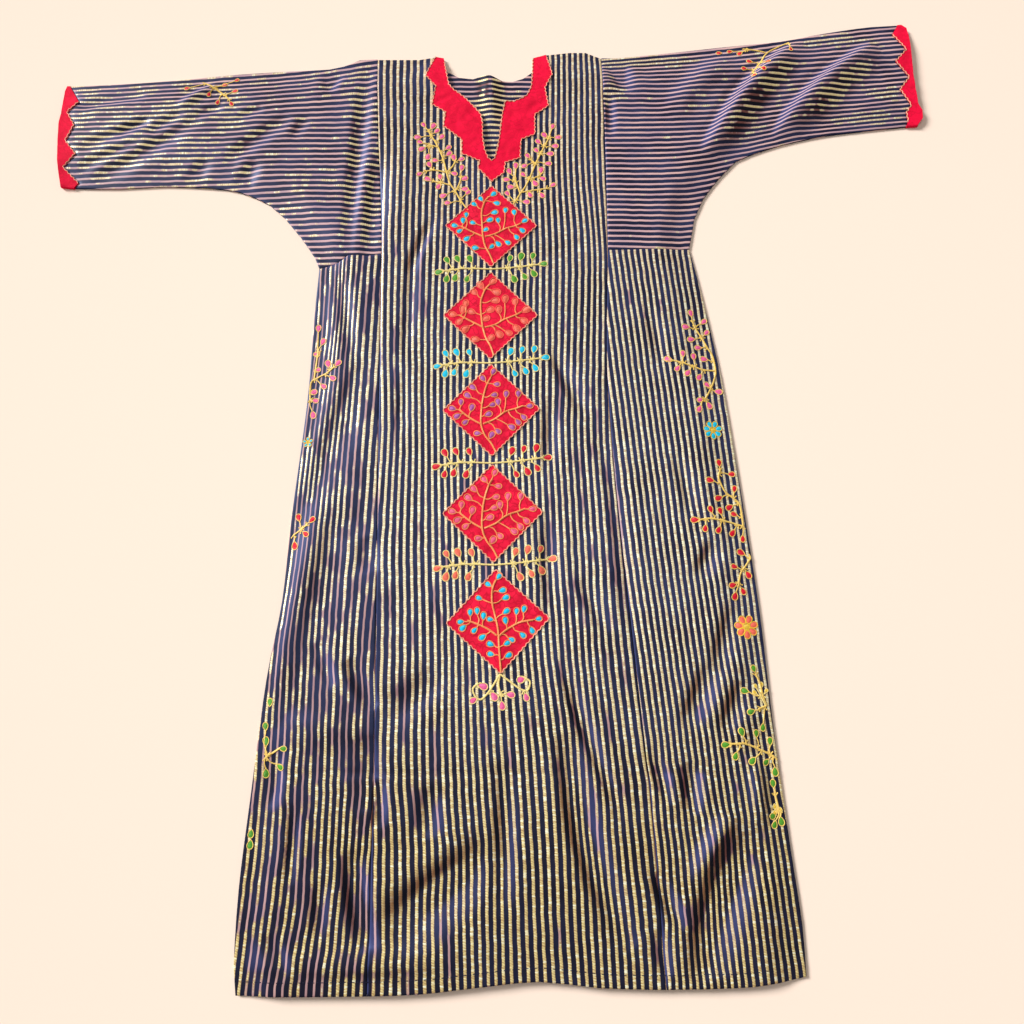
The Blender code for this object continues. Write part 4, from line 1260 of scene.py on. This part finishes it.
class Weave:
    """The striped cloth's nodes: where each place lies on its stripe, and how the light falls there."""

    def __init__(self, g):
        self.g = g
        across, self.along = g.parts(g.map("cloth"))[:2]
        waver = g.blotches(across, self.along, WAVER_SIZES)
        self.across = g.math("ADD", across, g.line(waver, STRIPE_WAVER, -STRIPE_WAVER / 2))
        count = g.math("DIVIDE", self.across, PITCH * MM)
        self.stripe = g.math("FLOOR", count)
        self.aside = g.minus(g.math("FRACT", count), 0.5)
        self.offset = g.math("ABSOLUTE", self.aside)
        self.seed = g.times(self.stripe, STRIPE_SEED)
        slope = g.number("slope")
        # painted shade where a slope faces away from the light, painted light where it faces the light
        self.dim = g.step(slope, *DIM_SLOPE)
        self.lit = g.step(slope, *LIT_SLOPE)
        height = g.parts(g.position())[1]
        self.upper = g.step(height, *UPPER_FROM)
        self.chest = g.step(height, *CHEST_FROM)
        self.grain = self.streaks(*GRAIN)
        self.glint = self.streaks(*GLINT)
        turn = g.line(self.along, 2 * math.pi / (BEAD * MM), g.times(self.stripe, BEAD_SHIFT))
        self.bead = g.line(g.math("SINE", g.line(self.aside, BEAD_LEAN, turn)), 0.5, 0.5)

    def streaks(self, size, seed, detail, roughness):
        """Noise along the stripes, which differs from stripe to stripe."""
        place = self.g.place(self.g.math("DIVIDE", self.along, size), self.seed, seed)
        return self.g.noise(place, 1.0, detail, roughness)

    def gold(self, look):
        """Where the thread is gold, and where its bright core shows."""
        g = self.g
        alone = self.streaks(look.run, *RUN_NOISE)
        zones = g.blotches(self.across, self.along, (ZONE_WIDTH, ZONE_RUNS * look.run))
        showing = g.line(alone, RUN_SHARE, g.times(zones, ZONE_SHARE))
        # painted glint of the metal thread: less gold shows on slopes that face the light, and in shade less
        # on the body and more on the sleeves
        share = g.line(self.lit, LIT_GOLD, g.line(self.dim, look.dim_gold, g.number("gold")))
        over = g.minus(showing, g.line(share, *GOLD_LIMIT))
        gold = g.step(over, *GOLD_START)
        core = g.line(g.minus(self.grain, 0.5), CORE_GRAIN, GOLD_HALF)
        core = g.line(g.minus(self.bead, 0.5), CORE_BEAD, core)
        core = g.times(core, g.step(over, *CORE_START))
        shows = g.step(g.minus(core, self.offset), *CORE_EDGE)
        return gold, g.times(shows, gold)

    def satin_colour(self):
        """Navy, darker on the skirt, with blotches of painted blue sheen."""
        g = self.g
        # blotches of painted blue sheen, fewer on the skirt
        painted_sheen = g.noise(g.place(self.across, self.along), *PAINTED_SHEEN_NOISE)
        blue = g.times(g.step(painted_sheen, *PAINTED_SHEEN_FROM), g.between(self.upper, SKIRT_PAINTED_SHEEN, 1.0))
        navy = g.mixed(blue, g.mixed(self.upper, NAVY_SKIRT, NAVY), NAVY_PAINTED_SHEEN)
        # painted shade on slopes away from the light, painted blue sheen on slopes that face it
        return g.mixed(self.lit, g.mixed(self.dim, navy, NAVY_DIM), NAVY_LIT)

    def pink_colour(self, look):
        """The thread where no gold shows."""
        g = self.g
        dull = g.step(self.streaks(*DULL), *DULL_FROM)
        # painted shade on slopes away from the light, painted lilac light on slopes that face it
        pink = g.mixed(self.dim, g.mixed(dull, look.mauve, look.rose), PINK_DIM)
        return g.mixed(g.times(self.lit, LIT_PINK), pink, PINK_LIT)

    def gold_colour(self, look):
        """Twisted gold, paler towards the shoulders, with painted glints and painted shade."""
        g = self.g
        golden = g.mixed(self.chest, g.mixed(self.upper, GOLD_YELLOW, GOLD_PALE), GOLD_CREAM)
        # painted shade: the gold darkens between its beads and away from its glints
        tone = g.clamped(g.line(self.glint, GLINT_TONE, g.line(self.bead, *BEAD_TONE)))
        golden = g.mixed(tone, g.mixed(self.upper, GOLD_SHADE, CREAM_SHADE), golden)
        # painted glints
        bright = g.step(g.times(self.glint, self.grain), *GLINT_FROM)
        golden = g.mixed(g.times(bright, GLINT_STRENGTH), golden, GOLD_GLINT)
        # painted shade on slopes away from the light, which on the sleeves paints bright glints instead, and
        # a duller painted gold on slopes that face the light
        golden = g.mixed(g.times(self.dim, look.dim), golden, look.dim_colour)
        return g.mixed(g.times(self.lit, LIT_FADE), golden, GOLD_LIT)


def striped_material(name, look):
    """Navy satin with woven metallic stripes, which show gold in places and dull pink elsewhere."""
    g = Graph(name)
    weave = Weave(g)
    gold, shows = weave.gold(look)
    half = g.between(gold, look.pink_half, EDGE_HALF)
    stripe = g.step(g.minus(half, weave.offset), *STRIPE_EDGE)
    thread = g.mixed(gold, weave.pink_colour(look), g.mixed(weave.upper, GOLD_RIM, look.mauve))
    colour = g.mixed(shows, g.mixed(stripe, weave.satin_colour(), thread), weave.gold_colour(look))
    rounded = g.step(g.times(weave.offset, weave.offset), -ROUND_FALL, 1.0)
    beads = g.line(g.times(weave.bead, gold), *BEAD_RISE)
    g.bump(g.times(rounded, beads), *THREAD_BUMP)
    g.set(
        Base_Color=colour,
        Roughness=g.between(shows, *ROUGHNESS),
        Metallic=g.times(shows, GOLD_METAL),
        Specular_IOR_Level=SATIN_SHINE,
        Specular_Tint=SATIN_TINT,
    )
    return g.material


def cotton_material(name, light, deep):
    """Plain weave cotton, a little uneven in colour, with painted shade along crease lines."""
    g = Graph(name)
    where = g.position()
    tone = g.noise(where, *COTTON_NOISE)
    colour = g.mixed(g.step(tone, *COTTON_FROM), deep, light)
    # painted shade: dark lines where the cloth creases
    away = g.math("ABSOLUTE", g.minus(g.noise(where, *CREASE_SHADE_NOISE), 0.5))
    crease = g.times(g.step(away, -CREASE_SHADE_FALL, 1.0), g.times(tone, CREASE_SHADE_DEPTH))
    warp, weft = (
        g.math("SINE", g.times(side, 2 * math.pi / COTTON_THREADS)) for side in g.parts(where)[:2]
    )
    g.bump(g.math("ADD", g.times(warp, weft), g.noise(where, *COTTON_LUMPS)), *COTTON_BUMP)
    g.set(
        Base_Color=g.mixed(crease, colour, deep),
        Roughness=COTTON_ROUGHNESS,
        Specular_IOR_Level=COTTON_SHINE,
    )
    return g.material


def thread_material(name, colour, deep):
    """Silky embroidery thread."""
    g = Graph(name)
    tone = g.noise(g.position(), *SILK_NOISE)
    across = g.parts(g.map("thread"))[0]
    g.bump(g.math("SINE", g.times(across, 2 * math.pi)), *SILK_BUMP)
    g.set(
        Base_Color=g.mixed(g.step(tone, *SILK_FROM), deep, colour),
        Roughness=SILK_ROUGHNESS,
        Specular_IOR_Level=SILK_SHINE,
    )
    return g.material


def centre_loop(neck_edge):
    """The outline of a centre panel, counterclockwise from the left end of its hem."""
    return joined(
        smooth(HEM_CENTRE, OUTLINE_STEP),
        smooth(SEAM_RIGHT_LOW[::-1], OUTLINE_STEP),
        smooth(SEAM_RIGHT_TOP[::-1], OUTLINE_STEP),
        straight(SHOULDER_RIGHT[::-1], OUTLINE_STEP),
        straight(neck_edge[::-1], OUTLINE_STEP),
        straight(SHOULDER_LEFT[::-1], OUTLINE_STEP),
        smooth(SEAM_LEFT_TOP, OUTLINE_STEP),
        smooth(SEAM_LEFT_LOW, OUTLINE_STEP),
    )


def side_loops():
    """The outlines of the left and right side panels, counterclockwise from the underarm."""
    left = joined(
        smooth(SIDE_LEFT, OUTLINE_STEP),
        smooth(HEM_LEFT, OUTLINE_STEP),
        smooth(SEAM_LEFT_LOW[::-1], OUTLINE_STEP),
        straight(SLEEVE_SEAM_LEFT, OUTLINE_STEP),
    )
    right = joined(
        straight(SLEEVE_SEAM_RIGHT[::-1], OUTLINE_STEP),
        smooth(SEAM_RIGHT_LOW, OUTLINE_STEP),
        smooth(HEM_RIGHT, OUTLINE_STEP),
        smooth(SIDE_RIGHT[::-1], OUTLINE_STEP),
    )
    return {"left": left, "right": right}


def marked(*runs):
    """One closed loop from lines that meet end to end, and which of its edges are folded."""
    loop = inset(joined(*[line for line, _ in runs]), GAP / 2)
    folds = [fold for line, fold in runs for _ in line[1:]]
    fine, fine_folds = [], []
    for start, end, fold in zip(loop, np.roll(loop, -1, axis=0), folds):
        run = straight([start, end], RIM_STEP)[:-1]
        fine.append(run)
        fine_folds += [fold] * len(run)
    return np.vstack(fine), fine_folds


def sleeve_loops():
    """The outlines of the sleeves, folded along their top edges."""
    left = marked(
        (smooth(SEAM_LEFT_TOP[::-1], OUTLINE_STEP), False),
        (smooth(SLEEVE_TOP_LEFT, OUTLINE_STEP), True),
        (straight(CUFF_TEETH_LEFT, TEETH_STEP), False),
        (smooth(UNDERARM_LEFT[::-1], OUTLINE_STEP), False),
        (straight(SLEEVE_SEAM_LEFT[::-1], OUTLINE_STEP), False),
    )
    right = marked(
        (smooth(SEAM_RIGHT_TOP, OUTLINE_STEP), False),
        (straight(SLEEVE_SEAM_RIGHT, OUTLINE_STEP), False),
        (smooth(UNDERARM_RIGHT, OUTLINE_STEP), False),
        (straight(CUFF_TEETH_RIGHT[::-1], TEETH_STEP), False),
        (smooth(SLEEVE_TOP_RIGHT[::-1], OUTLINE_STEP), True),
    )
    return {"left": left, "right": right}


def cuff_loops():
    """The outlines of the cuff bands, folded above and below."""
    left, right = (straight(line, TEETH_STEP) for line in (CUFF_END_LEFT, CUFF_END_RIGHT))
    left = marked(
        (left[:2], True),
        (left[1:-1], False),
        (left[-2:], True),
        (straight(CUFF_TEETH_LEFT[::-1], TEETH_STEP), False),
    )
    right = marked(
        (straight(CUFF_TEETH_RIGHT, TEETH_STEP), False),
        (right[::-1][:2], True),
        (right[::-1][1:-1], False),
        (right[::-1][-2:], True),
    )
    return {"left": left, "right": right}


def fine_loop(loop):
    """A closed loop, a seam's half gap inside its outline, with points at most a rim step apart."""
    return straight(closed(inset(loop, GAP / 2)), RIM_STEP)[:-1]


def hem_rise(points):
    """How far the doubled cloth of the hem stands over the rest."""
    lines = [smooth(line, OUTLINE_STEP) for line in HEM]
    away = np.min([near(points, line)[0] for line in lines], axis=0)
    return HEM_RISE * ramp((HEM_DEPTH + HEM_EASE - away) / HEM_EASE)


def front_panel(name, loop, material, panel):
    """One panel of the front."""
    loop = fine_loop(loop)
    plan = fill(loop, MESH_STEP, SEAM_RINGS)
    face = front_top(plan[0]) + hem_rise(plan[0])
    top = face - seam_drop(plan[0], loop)
    under = face - SHELL
    under[:len(loop)] = np.minimum(under[:len(loop)], top[:len(loop)] - SHELL / EDGE_PARTS)
    return cloth_sheet(name, plan, loop, under, top, material, panel)


def make_front(striped, sideways):
    """The front's centre panel and its two side panels."""
    made = {"front_center": front_panel("cloth_front_center", centre_loop(NECK_EDGE), striped, "centre")}
    for side, loop in side_loops().items():
        made[f"front_side_{side}"] = front_panel(f"cloth_front_side_{side}", loop, sideways, side)
    return made


def back_panel(name, loop, material, panel):
    """One panel of the back."""
    loop = fine_loop(loop)
    plan = fill(loop, BACK_STEP, SEAM_RINGS)
    level = back_level(plan[0])
    top = level + CLOTH - seam_drop(plan[0], loop) / 2
    return cloth_sheet(name, plan, loop, level, top, material, panel)


def back_facing(material):
    """The facing inside the neck, with its stripes across."""
    edge = joined(straight(BACK_FACING_EDGE, RIM_STEP), straight(BACK_NECK_EDGE[-2:0:-1], RIM_STEP))
    plan = fill(edge, TRIM_STEP)
    points, triangles = plan
    level = back_level(points) + CLOTH + GAP
    piece = cloth_sheet("cloth_back_neck_facing", plan, edge, level, level + TRIM, material)
    place = np.column_stack([points[:, 1], points[:, 0]]) * MM
    set_map(piece, "cloth", np.vstack([place, place])[corner_indices(piece.data)])
    upper = ramp((points[:, 1] - NECK_TURN[0]) / (NECK_TURN[1] - NECK_TURN[0]))
    set_values(piece, "gold", np.tile(NECK_GOLD[1] + upper * (NECK_GOLD[0] - NECK_GOLD[1]), 2))
    # painted shade on both flanks of the neck's fold, whichever way they face
    set_values(piece, "slope", np.tile(NECK_SHADE * np.abs(slopes(points, triangles, level)), 2))
    return piece


def make_back(striped, crosswise):
    """The back's three panels, and the facing inside the neck."""
    made = {"back_center": back_panel("cloth_back_center", centre_loop(BACK_NECK_EDGE), striped, "centre")}
    for side, loop in side_loops().items():
        made[f"back_side_{side}"] = back_panel(f"cloth_back_side_{side}", loop, striped, side)
    made["back_neck_facing"] = back_facing(crosswise)
    return made


def fold_edge(loop, folds):
    """The folded part of a loop's edge, as one line."""
    ends = [i for i in range(len(loop)) if folds[i] or folds[i - 1]]
    first = next(i for i in ends if not folds[i - 1])
    return np.roll(loop, -first, axis=0)[:len(ends)]


def make_sleeves(striped, cotton):
    """The sleeves and the bands on their ends."""
    made = {}
    for side, (loop, folds) in sleeve_loops().items():
        plan = fill(loop, MESH_STEP, SEAM_RINGS)
        face = front_top(plan[0])
        drop = seam_drop(plan[0], loop) * (near(plan[0], fold_edge(loop, folds))[0] > SEAM_ROWS[-1])
        piece = folded_cloth(f"cloth_sleeve_{side}", loop, folds, plan, face - SHELL, face - drop,
                             SHELL, striped, f"sleeve_{side}")
        made[f"sleeve_{side}"] = piece
    for side, (loop, folds) in cuff_loops().items():
        plan = fill(loop, TRIM_STEP)
        face = cuff_top(plan[0])
        made[f"cuff_{side}"] = folded_cloth(f"cloth_cuff_{side}", loop, folds, plan, face - CUFF_SHELL,
                                            face, CUFF_SHELL, cotton)
    return made


def patch_corners(patch, half=PATCH_HALF):
    """A square patch's corners, from its right corner round, with the first one again at the end."""
    turn = np.radians(patch.tilt + np.array([0, 90, 180, 270, 360]))
    return np.column_stack([np.cos(turn), np.sin(turn)]) * half + (patch.x, patch.y)


def facing_lines():
    """The front neck facing's outline, counterclockwise: teeth, shoulder, neck edge, shoulder."""
    lines = (FACING_TEETH, SHOULDER_RIGHT[1::-1], NECK_EDGE[::-1], SHOULDER_LEFT[:-3:-1])
    return [straight(line, RIM_STEP) for line in lines]


def trim_piece(name, loop, material):
    """Cotton sewn on the front, with a turned edge."""
    loop = inset(loop, GAP / 2)
    plan = fill(loop, TRIM_STEP, SEAM_RINGS[:1])
    face = trim_top(plan[0])
    drop = TRIM_DROP * seam_drop(plan[0], loop)
    return cloth_sheet(name, plan, loop, face - TRIM_SHELL, face - drop, material)


def make_trim(cotton, patch_cotton):
    """The front neck facing and the patches."""
    made = {"neck_facing": trim_piece("cloth_neck_facing", joined(*facing_lines()), cotton)}
    for number, patch in enumerate(PATCHES, 1):
        loop = straight(patch_corners(patch), RIM_STEP)[:-1]
        made[f"diamond_{number}"] = trim_piece(f"cloth_diamond_{number}", loop, patch_cotton)
    return made


def srgb(red, green, blue):
    """A shader colour from one that a picture shows."""
    parts = [value / 255 for value in (red, green, blue)]
    return tuple(p / 12.92 if p <= 0.04045 else ((p + 0.055) / 1.055) ** 2.4 for p in parts)


class Stitches:
    """Stitches of one thread in one place, laid on a surface: plan points with their height over it."""

    def __init__(self, name, silk, surface, under):
        self.name, self.silk, self.surface, self.under = name, silk, surface, under
        self.places, self.faces, self.lines, self.count = [], [], [], 0

    def add(self, plan, lift, lines, faces):
        """Adds points, each with its height over the surface and its count of threads across."""
        self.places.append(np.column_stack([plan, lift]))
        self.lines.append(np.broadcast_to(lines, len(plan)))
        self.faces += [tuple(int(i) + self.count for i in face) for face in faces]
        self.count += len(plan)

    def tube(self, line, width, stitch=STITCH, ring=False, lift=THREAD_LIFT, chain=CHAIN):
        """A thread along a line, plumper in the middle of each stitch."""
        line = evenly(line, TUBE_STEP)
        if ring:
            line = line[:-1]
        run = run_along(line)
        ahead = np.roll(line, -1, axis=0) - np.roll(line, 1, axis=0)
        if not ring:
            ahead[0], ahead[-1] = line[1] - line[0], line[-1] - line[-2]
        aside = left_of(ahead)
        half = width * (1 - chain + chain * np.abs(np.sin(np.pi * run / stitch)))
        turns = 2 * np.pi * np.arange(TUBE_CORNERS) / TUBE_CORNERS
        plan = line[:, None] + aside[:, None] * (half[:, None] * np.cos(turns))[..., None]
        height = lift + THREAD_FLAT * half[:, None] * np.sin(turns)
        rings, n = len(line), TUBE_CORNERS
        faces = []
        for i in range(rings if ring else rings - 1):
            here, there = i * n, (i + 1) % rings * n
            faces += [(here + k, there + k, there + (k + 1) % n, here + (k + 1) % n) for k in range(n)]
        if not ring:
            faces.append(tuple(range(n))[::-1])
            faces.append(tuple((rings - 1) * n + k for k in range(n)))
        lines = np.repeat(run / stitch * 2, n)
        self.add(plan.reshape(-1, 2), height.ravel(), lines, [face[::-1] for face in faces])

    def bud(self, middle, towards, size, length=BUD_LENGTH, width=BUD_WIDTH):
        """A satin stitch drop, with its tip on the side of its stalk."""
        outline = drop_line(middle, towards, size, length, width)[:-1]
        n = len(outline)
        plan = [middle + ring * (outline - middle) for ring in BUD_RINGS] + [[middle]]
        plan = np.vstack(plan)
        share = np.repeat(BUD_RINGS, n)
        lift = np.append(BUD_HEIGHT * np.sqrt(BUD_DOME - share**2) - BUD_SINK, BUD_HEIGHT)
        faces = [tuple(range(n))[::-1]]
        for i in range(len(BUD_RINGS) - 1):
            here, there = i * n, (i + 1) * n
            faces += [(here + k, here + (k + 1) % n, there + (k + 1) % n, there + k) for k in range(n)]
        last = (len(BUD_RINGS) - 1) * n
        faces += [(last + k, last + (k + 1) % n, len(plan) - 1) for k in range(n)]
        lines = (plan - middle) @ towards / SILK_LINES
        self.add(plan, lift, lines, faces)

    def outline(self, middle, towards, size, length=BUD_LENGTH, width=BUD_WIDTH, chain=OUTLINE_CHAIN):
        """A thread round a drop."""
        line = drop_line(middle, towards, size, length, width)
        self.tube(line, OUTLINE_WIDTH, ring=True, chain=chain)

    def finish(self, silks):
        """Makes the piece on its surface."""
        places = np.vstack(self.places)
        places[:, 2] += self.surface(places[:, :2])
        piece = add_mesh(self.name, places, self.faces, silks[self.silk])
        lines = np.concatenate(self.lines)
        corners = corner_indices(piece.data)
        set_map(piece, "thread", np.column_stack([lines, lines * 0])[corners])
        return piece


def drop_line(middle, towards, size, length, width):
    """The closed outline of a drop, counterclockwise, with its round end in the direction towards."""
    t = np.linspace(0, 2 * np.pi, BUD_CORNERS + 1)
    along = -np.cos(t) * length / 2 * size
    across = -np.sin(t) * np.sin(t / 2) ** DROP_POINT * width / 2 * size * DROP_FULL
    aside = np.array([-towards[1], towards[0]])
    return middle + along[:, None] * towards + across[:, None] * aside


def stalk(bud, stems):
    """Where a bud's stalk starts on the nearest stem, and how far the bud is from that stem."""
    best = None
    for stem in stems:
        steps = np.linalg.norm(stem - bud, axis=1)
        i = int(np.argmin(steps))
        if best is None or steps[i] < best[0]:
            best = (steps[i], stem, i)
    distance, stem, i = best
    back = max(0, i - int(STALK_BACK * distance / TUBE_STEP))
    return stem[back], distance


def turned(direction, angle):
    """A direction, turned by an angle."""
    along, across = math.cos(angle), math.sin(angle)
    x, y = direction
    return np.array([along * x - across * y, across * x + along * y])


def stem_line(places, origin, wobble, phase):
    """A stem's smooth line, with a patch's wobble."""
    places = np.array(places, float)
    waves = [np.sin(places[:, 1 - i] / STEM_WAVES[i] + phase) for i in (0, 1)]
    places += wobble * np.column_stack(waves)
    return evenly(smooth(places + origin, TUBE_STEP), TUBE_STEP)


def spray(row, surface, under, filled, leaves=(), wobble=0.0):
    """The stitches of one spray: its stems with their stalks, its buds, and the buds' outlines."""
    lines = Stitches(f"{row.name}_stems", row.thread, surface, under)
    buds = Stitches(f"{row.name}_buds", row.silk, surface, under)
    origin = np.array((row.x, row.y), float)
    phase = row.x + row.y
    rims = buds if row.name == SELF_EDGED else lines
    stems = [stem_line(places, origin, wobble, phase) for places in row.stems]
    for stem in stems:
        lines.tube(stem, STEM_WIDTH)
    for i, place in enumerate(row.buds):
        place = np.array(place, float) + origin
        place += wobble * np.array([math.sin(BUD_TURNS[0] * i + phase), math.cos(BUD_TURNS[1] * i + phase)])
        start, distance = stalk(place, stems)
        towards = (place - start) / max(np.linalg.norm(place - start), MM)
        size = row.size * (1 + SIZE_WOBBLE * math.sin(SIZE_TURN * i + phase))
        tip = place - towards * BUD_LENGTH * size / 2
        if distance < STALK_REACH and np.linalg.norm(tip - start) > TUBE_STEP:
            aside = np.array([-towards[1], towards[0]])
            bend = (start + tip) / 2 + STALK_BEND * aside * distance * math.sin(i)
            lines.tube(smooth([start, bend, tip], TUBE_STEP), STALK_WIDTH)
            for turn in leaves:
                lines.tube([start, start + LEAF_LENGTH * turned(towards, turn)], STALK_WIDTH)
        buds.bud(place, towards, size * filled)
        rims.outline(place, towards, size)
    return [lines, buds]


def flower(name, row, surface, under):
    """Round petals about a yellow middle."""
    petals = Stitches(f"{name}_petals", row.silk, surface, under)
    middle = Stitches(f"{name}_middle", "yellow", surface, under)
    centre = np.array((row.x, row.y), float)
    size = row.radius / FULL_FLOWER
    for i in range(row.petals):
        turn = 2 * math.pi * (i + FLOWER_TURN) / row.petals
        towards = np.array([math.cos(turn), math.sin(turn)])
        place = centre + PETAL_PLACE * row.radius * towards
        petals.bud(place, towards, size)
        middle.outline(place, towards, size * PETAL_EDGE)
    bud_size, roundness = MIDDLE_BUD
    middle.bud(centre, np.array([1.0, 0.0]), size * bud_size, BUD_LENGTH, BUD_LENGTH * roundness)
    middle.outline(centre, np.array([0.0, 1.0]), size * MIDDLE_EDGE, width=BUD_LENGTH, chain=CHAIN)
    return [petals, middle]


def edging(stitches, line, ring=False):
    """A wavy line of shell stitches along an edge."""
    line = evenly(line, TUBE_STEP)
    run = np.arange(len(line)) * TUBE_STEP
    aside = left_of(np.gradient(line, axis=0))
    wave = EDGING_WAVE * np.sin(2 * np.pi * run / EDGING_STITCH)
    if ring:
        wave[-1] = wave[0]
    stitches.tube(line + wave[:, None] * aside, EDGING_WIDTH, EDGING_STITCH / 2, ring, lift=EDGING_LIFT)


def make_edging():
    """The stitched edges of the facing, the patches and the cuffs."""
    facing = Stitches("facing_edging", "edging", trim_top, "neck_facing")
    lines = facing_lines()
    loop = inset(joined(*lines), EDGING_INSET)
    teeth, shoulder, neck = (len(line) - 1 for line in lines[:3])
    edging(facing, loop[:teeth])
    edging(facing, loop[teeth + shoulder:teeth + shoulder + neck - 1])
    made = [facing]
    for number, patch in enumerate(PATCHES, 1):
        line = Stitches(f"patch_{number}_edging", "edging", trim_top, f"diamond_{number}")
        edging(line, patch_corners(patch, PATCH_HALF - EDGING_INSET * math.sqrt(2)), ring=True)
        made.append(line)
    for side, teeth in (("left", CUFF_TEETH_LEFT), ("right", CUFF_TEETH_RIGHT)):
        line = Stitches(f"cuff_{side}_edging", "edging", cuff_top, f"cuff_{side}")
        edging(line, np.array(teeth, float)[1:-1])
        made.append(line)
    return made


def hem_stitches():
    """A row of small dark stitches that holds the hem."""
    row = Stitches("hem_stitches", "navy", front_top, "front_center")
    line = np.vstack([smooth(part, OUTLINE_STEP)[:-1] for part in HEM])
    line = evenly(line + (0, HEM_LINE), TUBE_STEP)
    count, every = (int(round(length / TUBE_STEP)) for length in HEM_DASH)
    for start in range(HEM_ENDS, len(line) - HEM_ENDS - count, every):
        row.tube(line[start:start + count + 1], HEM_THREAD, lift=HEM_LIFT)
    return [row]


def make_stitches():
    """All the embroidery and the hem's stitches."""
    silks = {}
    for name, values in SILKS.items():
        light = srgb(*values)
        deep = tuple(DEEP_SILK * value for value in light)
        silks[name] = thread_material(f"thread_{name}", light, deep)
    made = make_edging() + hem_stitches()
    for number, row in enumerate(PATCH_SPRAYS, 1):
        made += spray(row, trim_top, f"diamond_{number}", PATCH_BUD, wobble=PLANT_WOBBLE)
    for row in CLOTH_SPRAYS:
        made += spray(row, front_top, spray_under(row.name), CLOTH_BUD, LEAVES)
    for number, row in enumerate(FLOWERS, 1):
        side = "right" if row.x > 0 else "left"
        made += flower(f"flower_{number}", row, front_top, f"front_side_{side}")
    return [(stitches.finish(silks), stitches.under) for stitches in made]


def spray_under(name):
    """The piece that a spray is sewn on."""
    if name.startswith("sleeve"):
        return name.rsplit("_", 1)[0]
    if name.startswith(("left", "right")):
        return f"front_side_{name.split('_')[0]}"
    return "front_center"


def link(name, data, place, turn):
    """Puts an object in the scene."""
    holder = bpy.data.objects.new(name, data)
    holder.location = place
    holder.rotation_euler = turn
    bpy.context.scene.collection.objects.link(holder)
    return holder


def make_floor():
    """A plain pale floor, just under the cloth."""
    bpy.ops.mesh.primitive_plane_add(size=FLOOR_SIZE, location=(0, 0, -FLOOR_DROP))
    floor = bpy.context.object
    floor.name = "floor"
    g = Graph("floor")
    g.set(Base_Color=(*FLOOR, 1), Roughness=1.0, Specular_IOR_Level=0.0)
    floor.data.materials.append(g.material)


def make_lights():
    """Soft light from the upper left."""
    world = bpy.data.worlds.new("studio")
    world.use_nodes = True
    background = world.node_tree.nodes["Background"]
    background.inputs[0].default_value = (*WORLD_TINT, 1)
    background.inputs[1].default_value = WORLD_LIGHT
    bpy.context.scene.world = world

    key = bpy.data.lights.new("key", "SUN")
    key.energy = KEY_POWER
    key.angle = math.radians(KEY_WIDTH)
    softbox = bpy.data.lights.new("softbox", "AREA")
    softbox.shape = "DISK"
    softbox.size = SOFTBOX_SIZE
    softbox.energy = SOFTBOX_POWER
    for lamp, place in ((key, KEY_FROM), (softbox, SOFTBOX_PLACE)):
        link(lamp.name, lamp, place, (-Vector(place)).to_track_quat("-Z", "Y").to_euler())


def make_camera():
    """The camera above, tilted towards the hem."""
    camera = bpy.data.cameras.new("camera")
    camera.lens = CAMERA_LENS
    camera.sensor_width = CAMERA_SENSOR
    tilt = math.radians(CAMERA_TILT)
    away = Vector((0, -math.sin(tilt), math.cos(tilt)))
    place = Vector(CAMERA_TARGET) + CAMERA_DISTANCE * away
    bpy.context.scene.camera = link("camera", camera, place, (tilt, 0, 0))
    bpy.context.scene.view_settings.view_transform = "Standard"


def make_stage():
    """The floor, the lights and the camera."""
    make_floor()
    make_lights()
    make_camera()


# A record of the part that a piece of cloth stands for, what it was cut from, in metres and square metres,
# and what it lies on. No piece gets one here.
Cut = namedtuple("Cut", "node width length area under")


def main():
    """Makes the kaftan and its stage, and says what each piece stands for."""
    striped, sideways, armwise = (striped_material(f"striped_{part}", look) for part, look in WEAVES.items())
    cotton = cotton_material("red_cotton", RED, RED_DEEP)
    patch_cotton = cotton_material("patch_cotton", PATCH_RED, PATCH_DEEP)
    pieces = {**make_back(striped, armwise), **make_front(striped, sideways), **make_sleeves(armwise, cotton)}
    pieces.update(make_trim(cotton, patch_cotton))
    for node, piece in pieces.items():
        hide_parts(node)
    make_stitches()
    make_stage()
    return pieces


pieces = main()
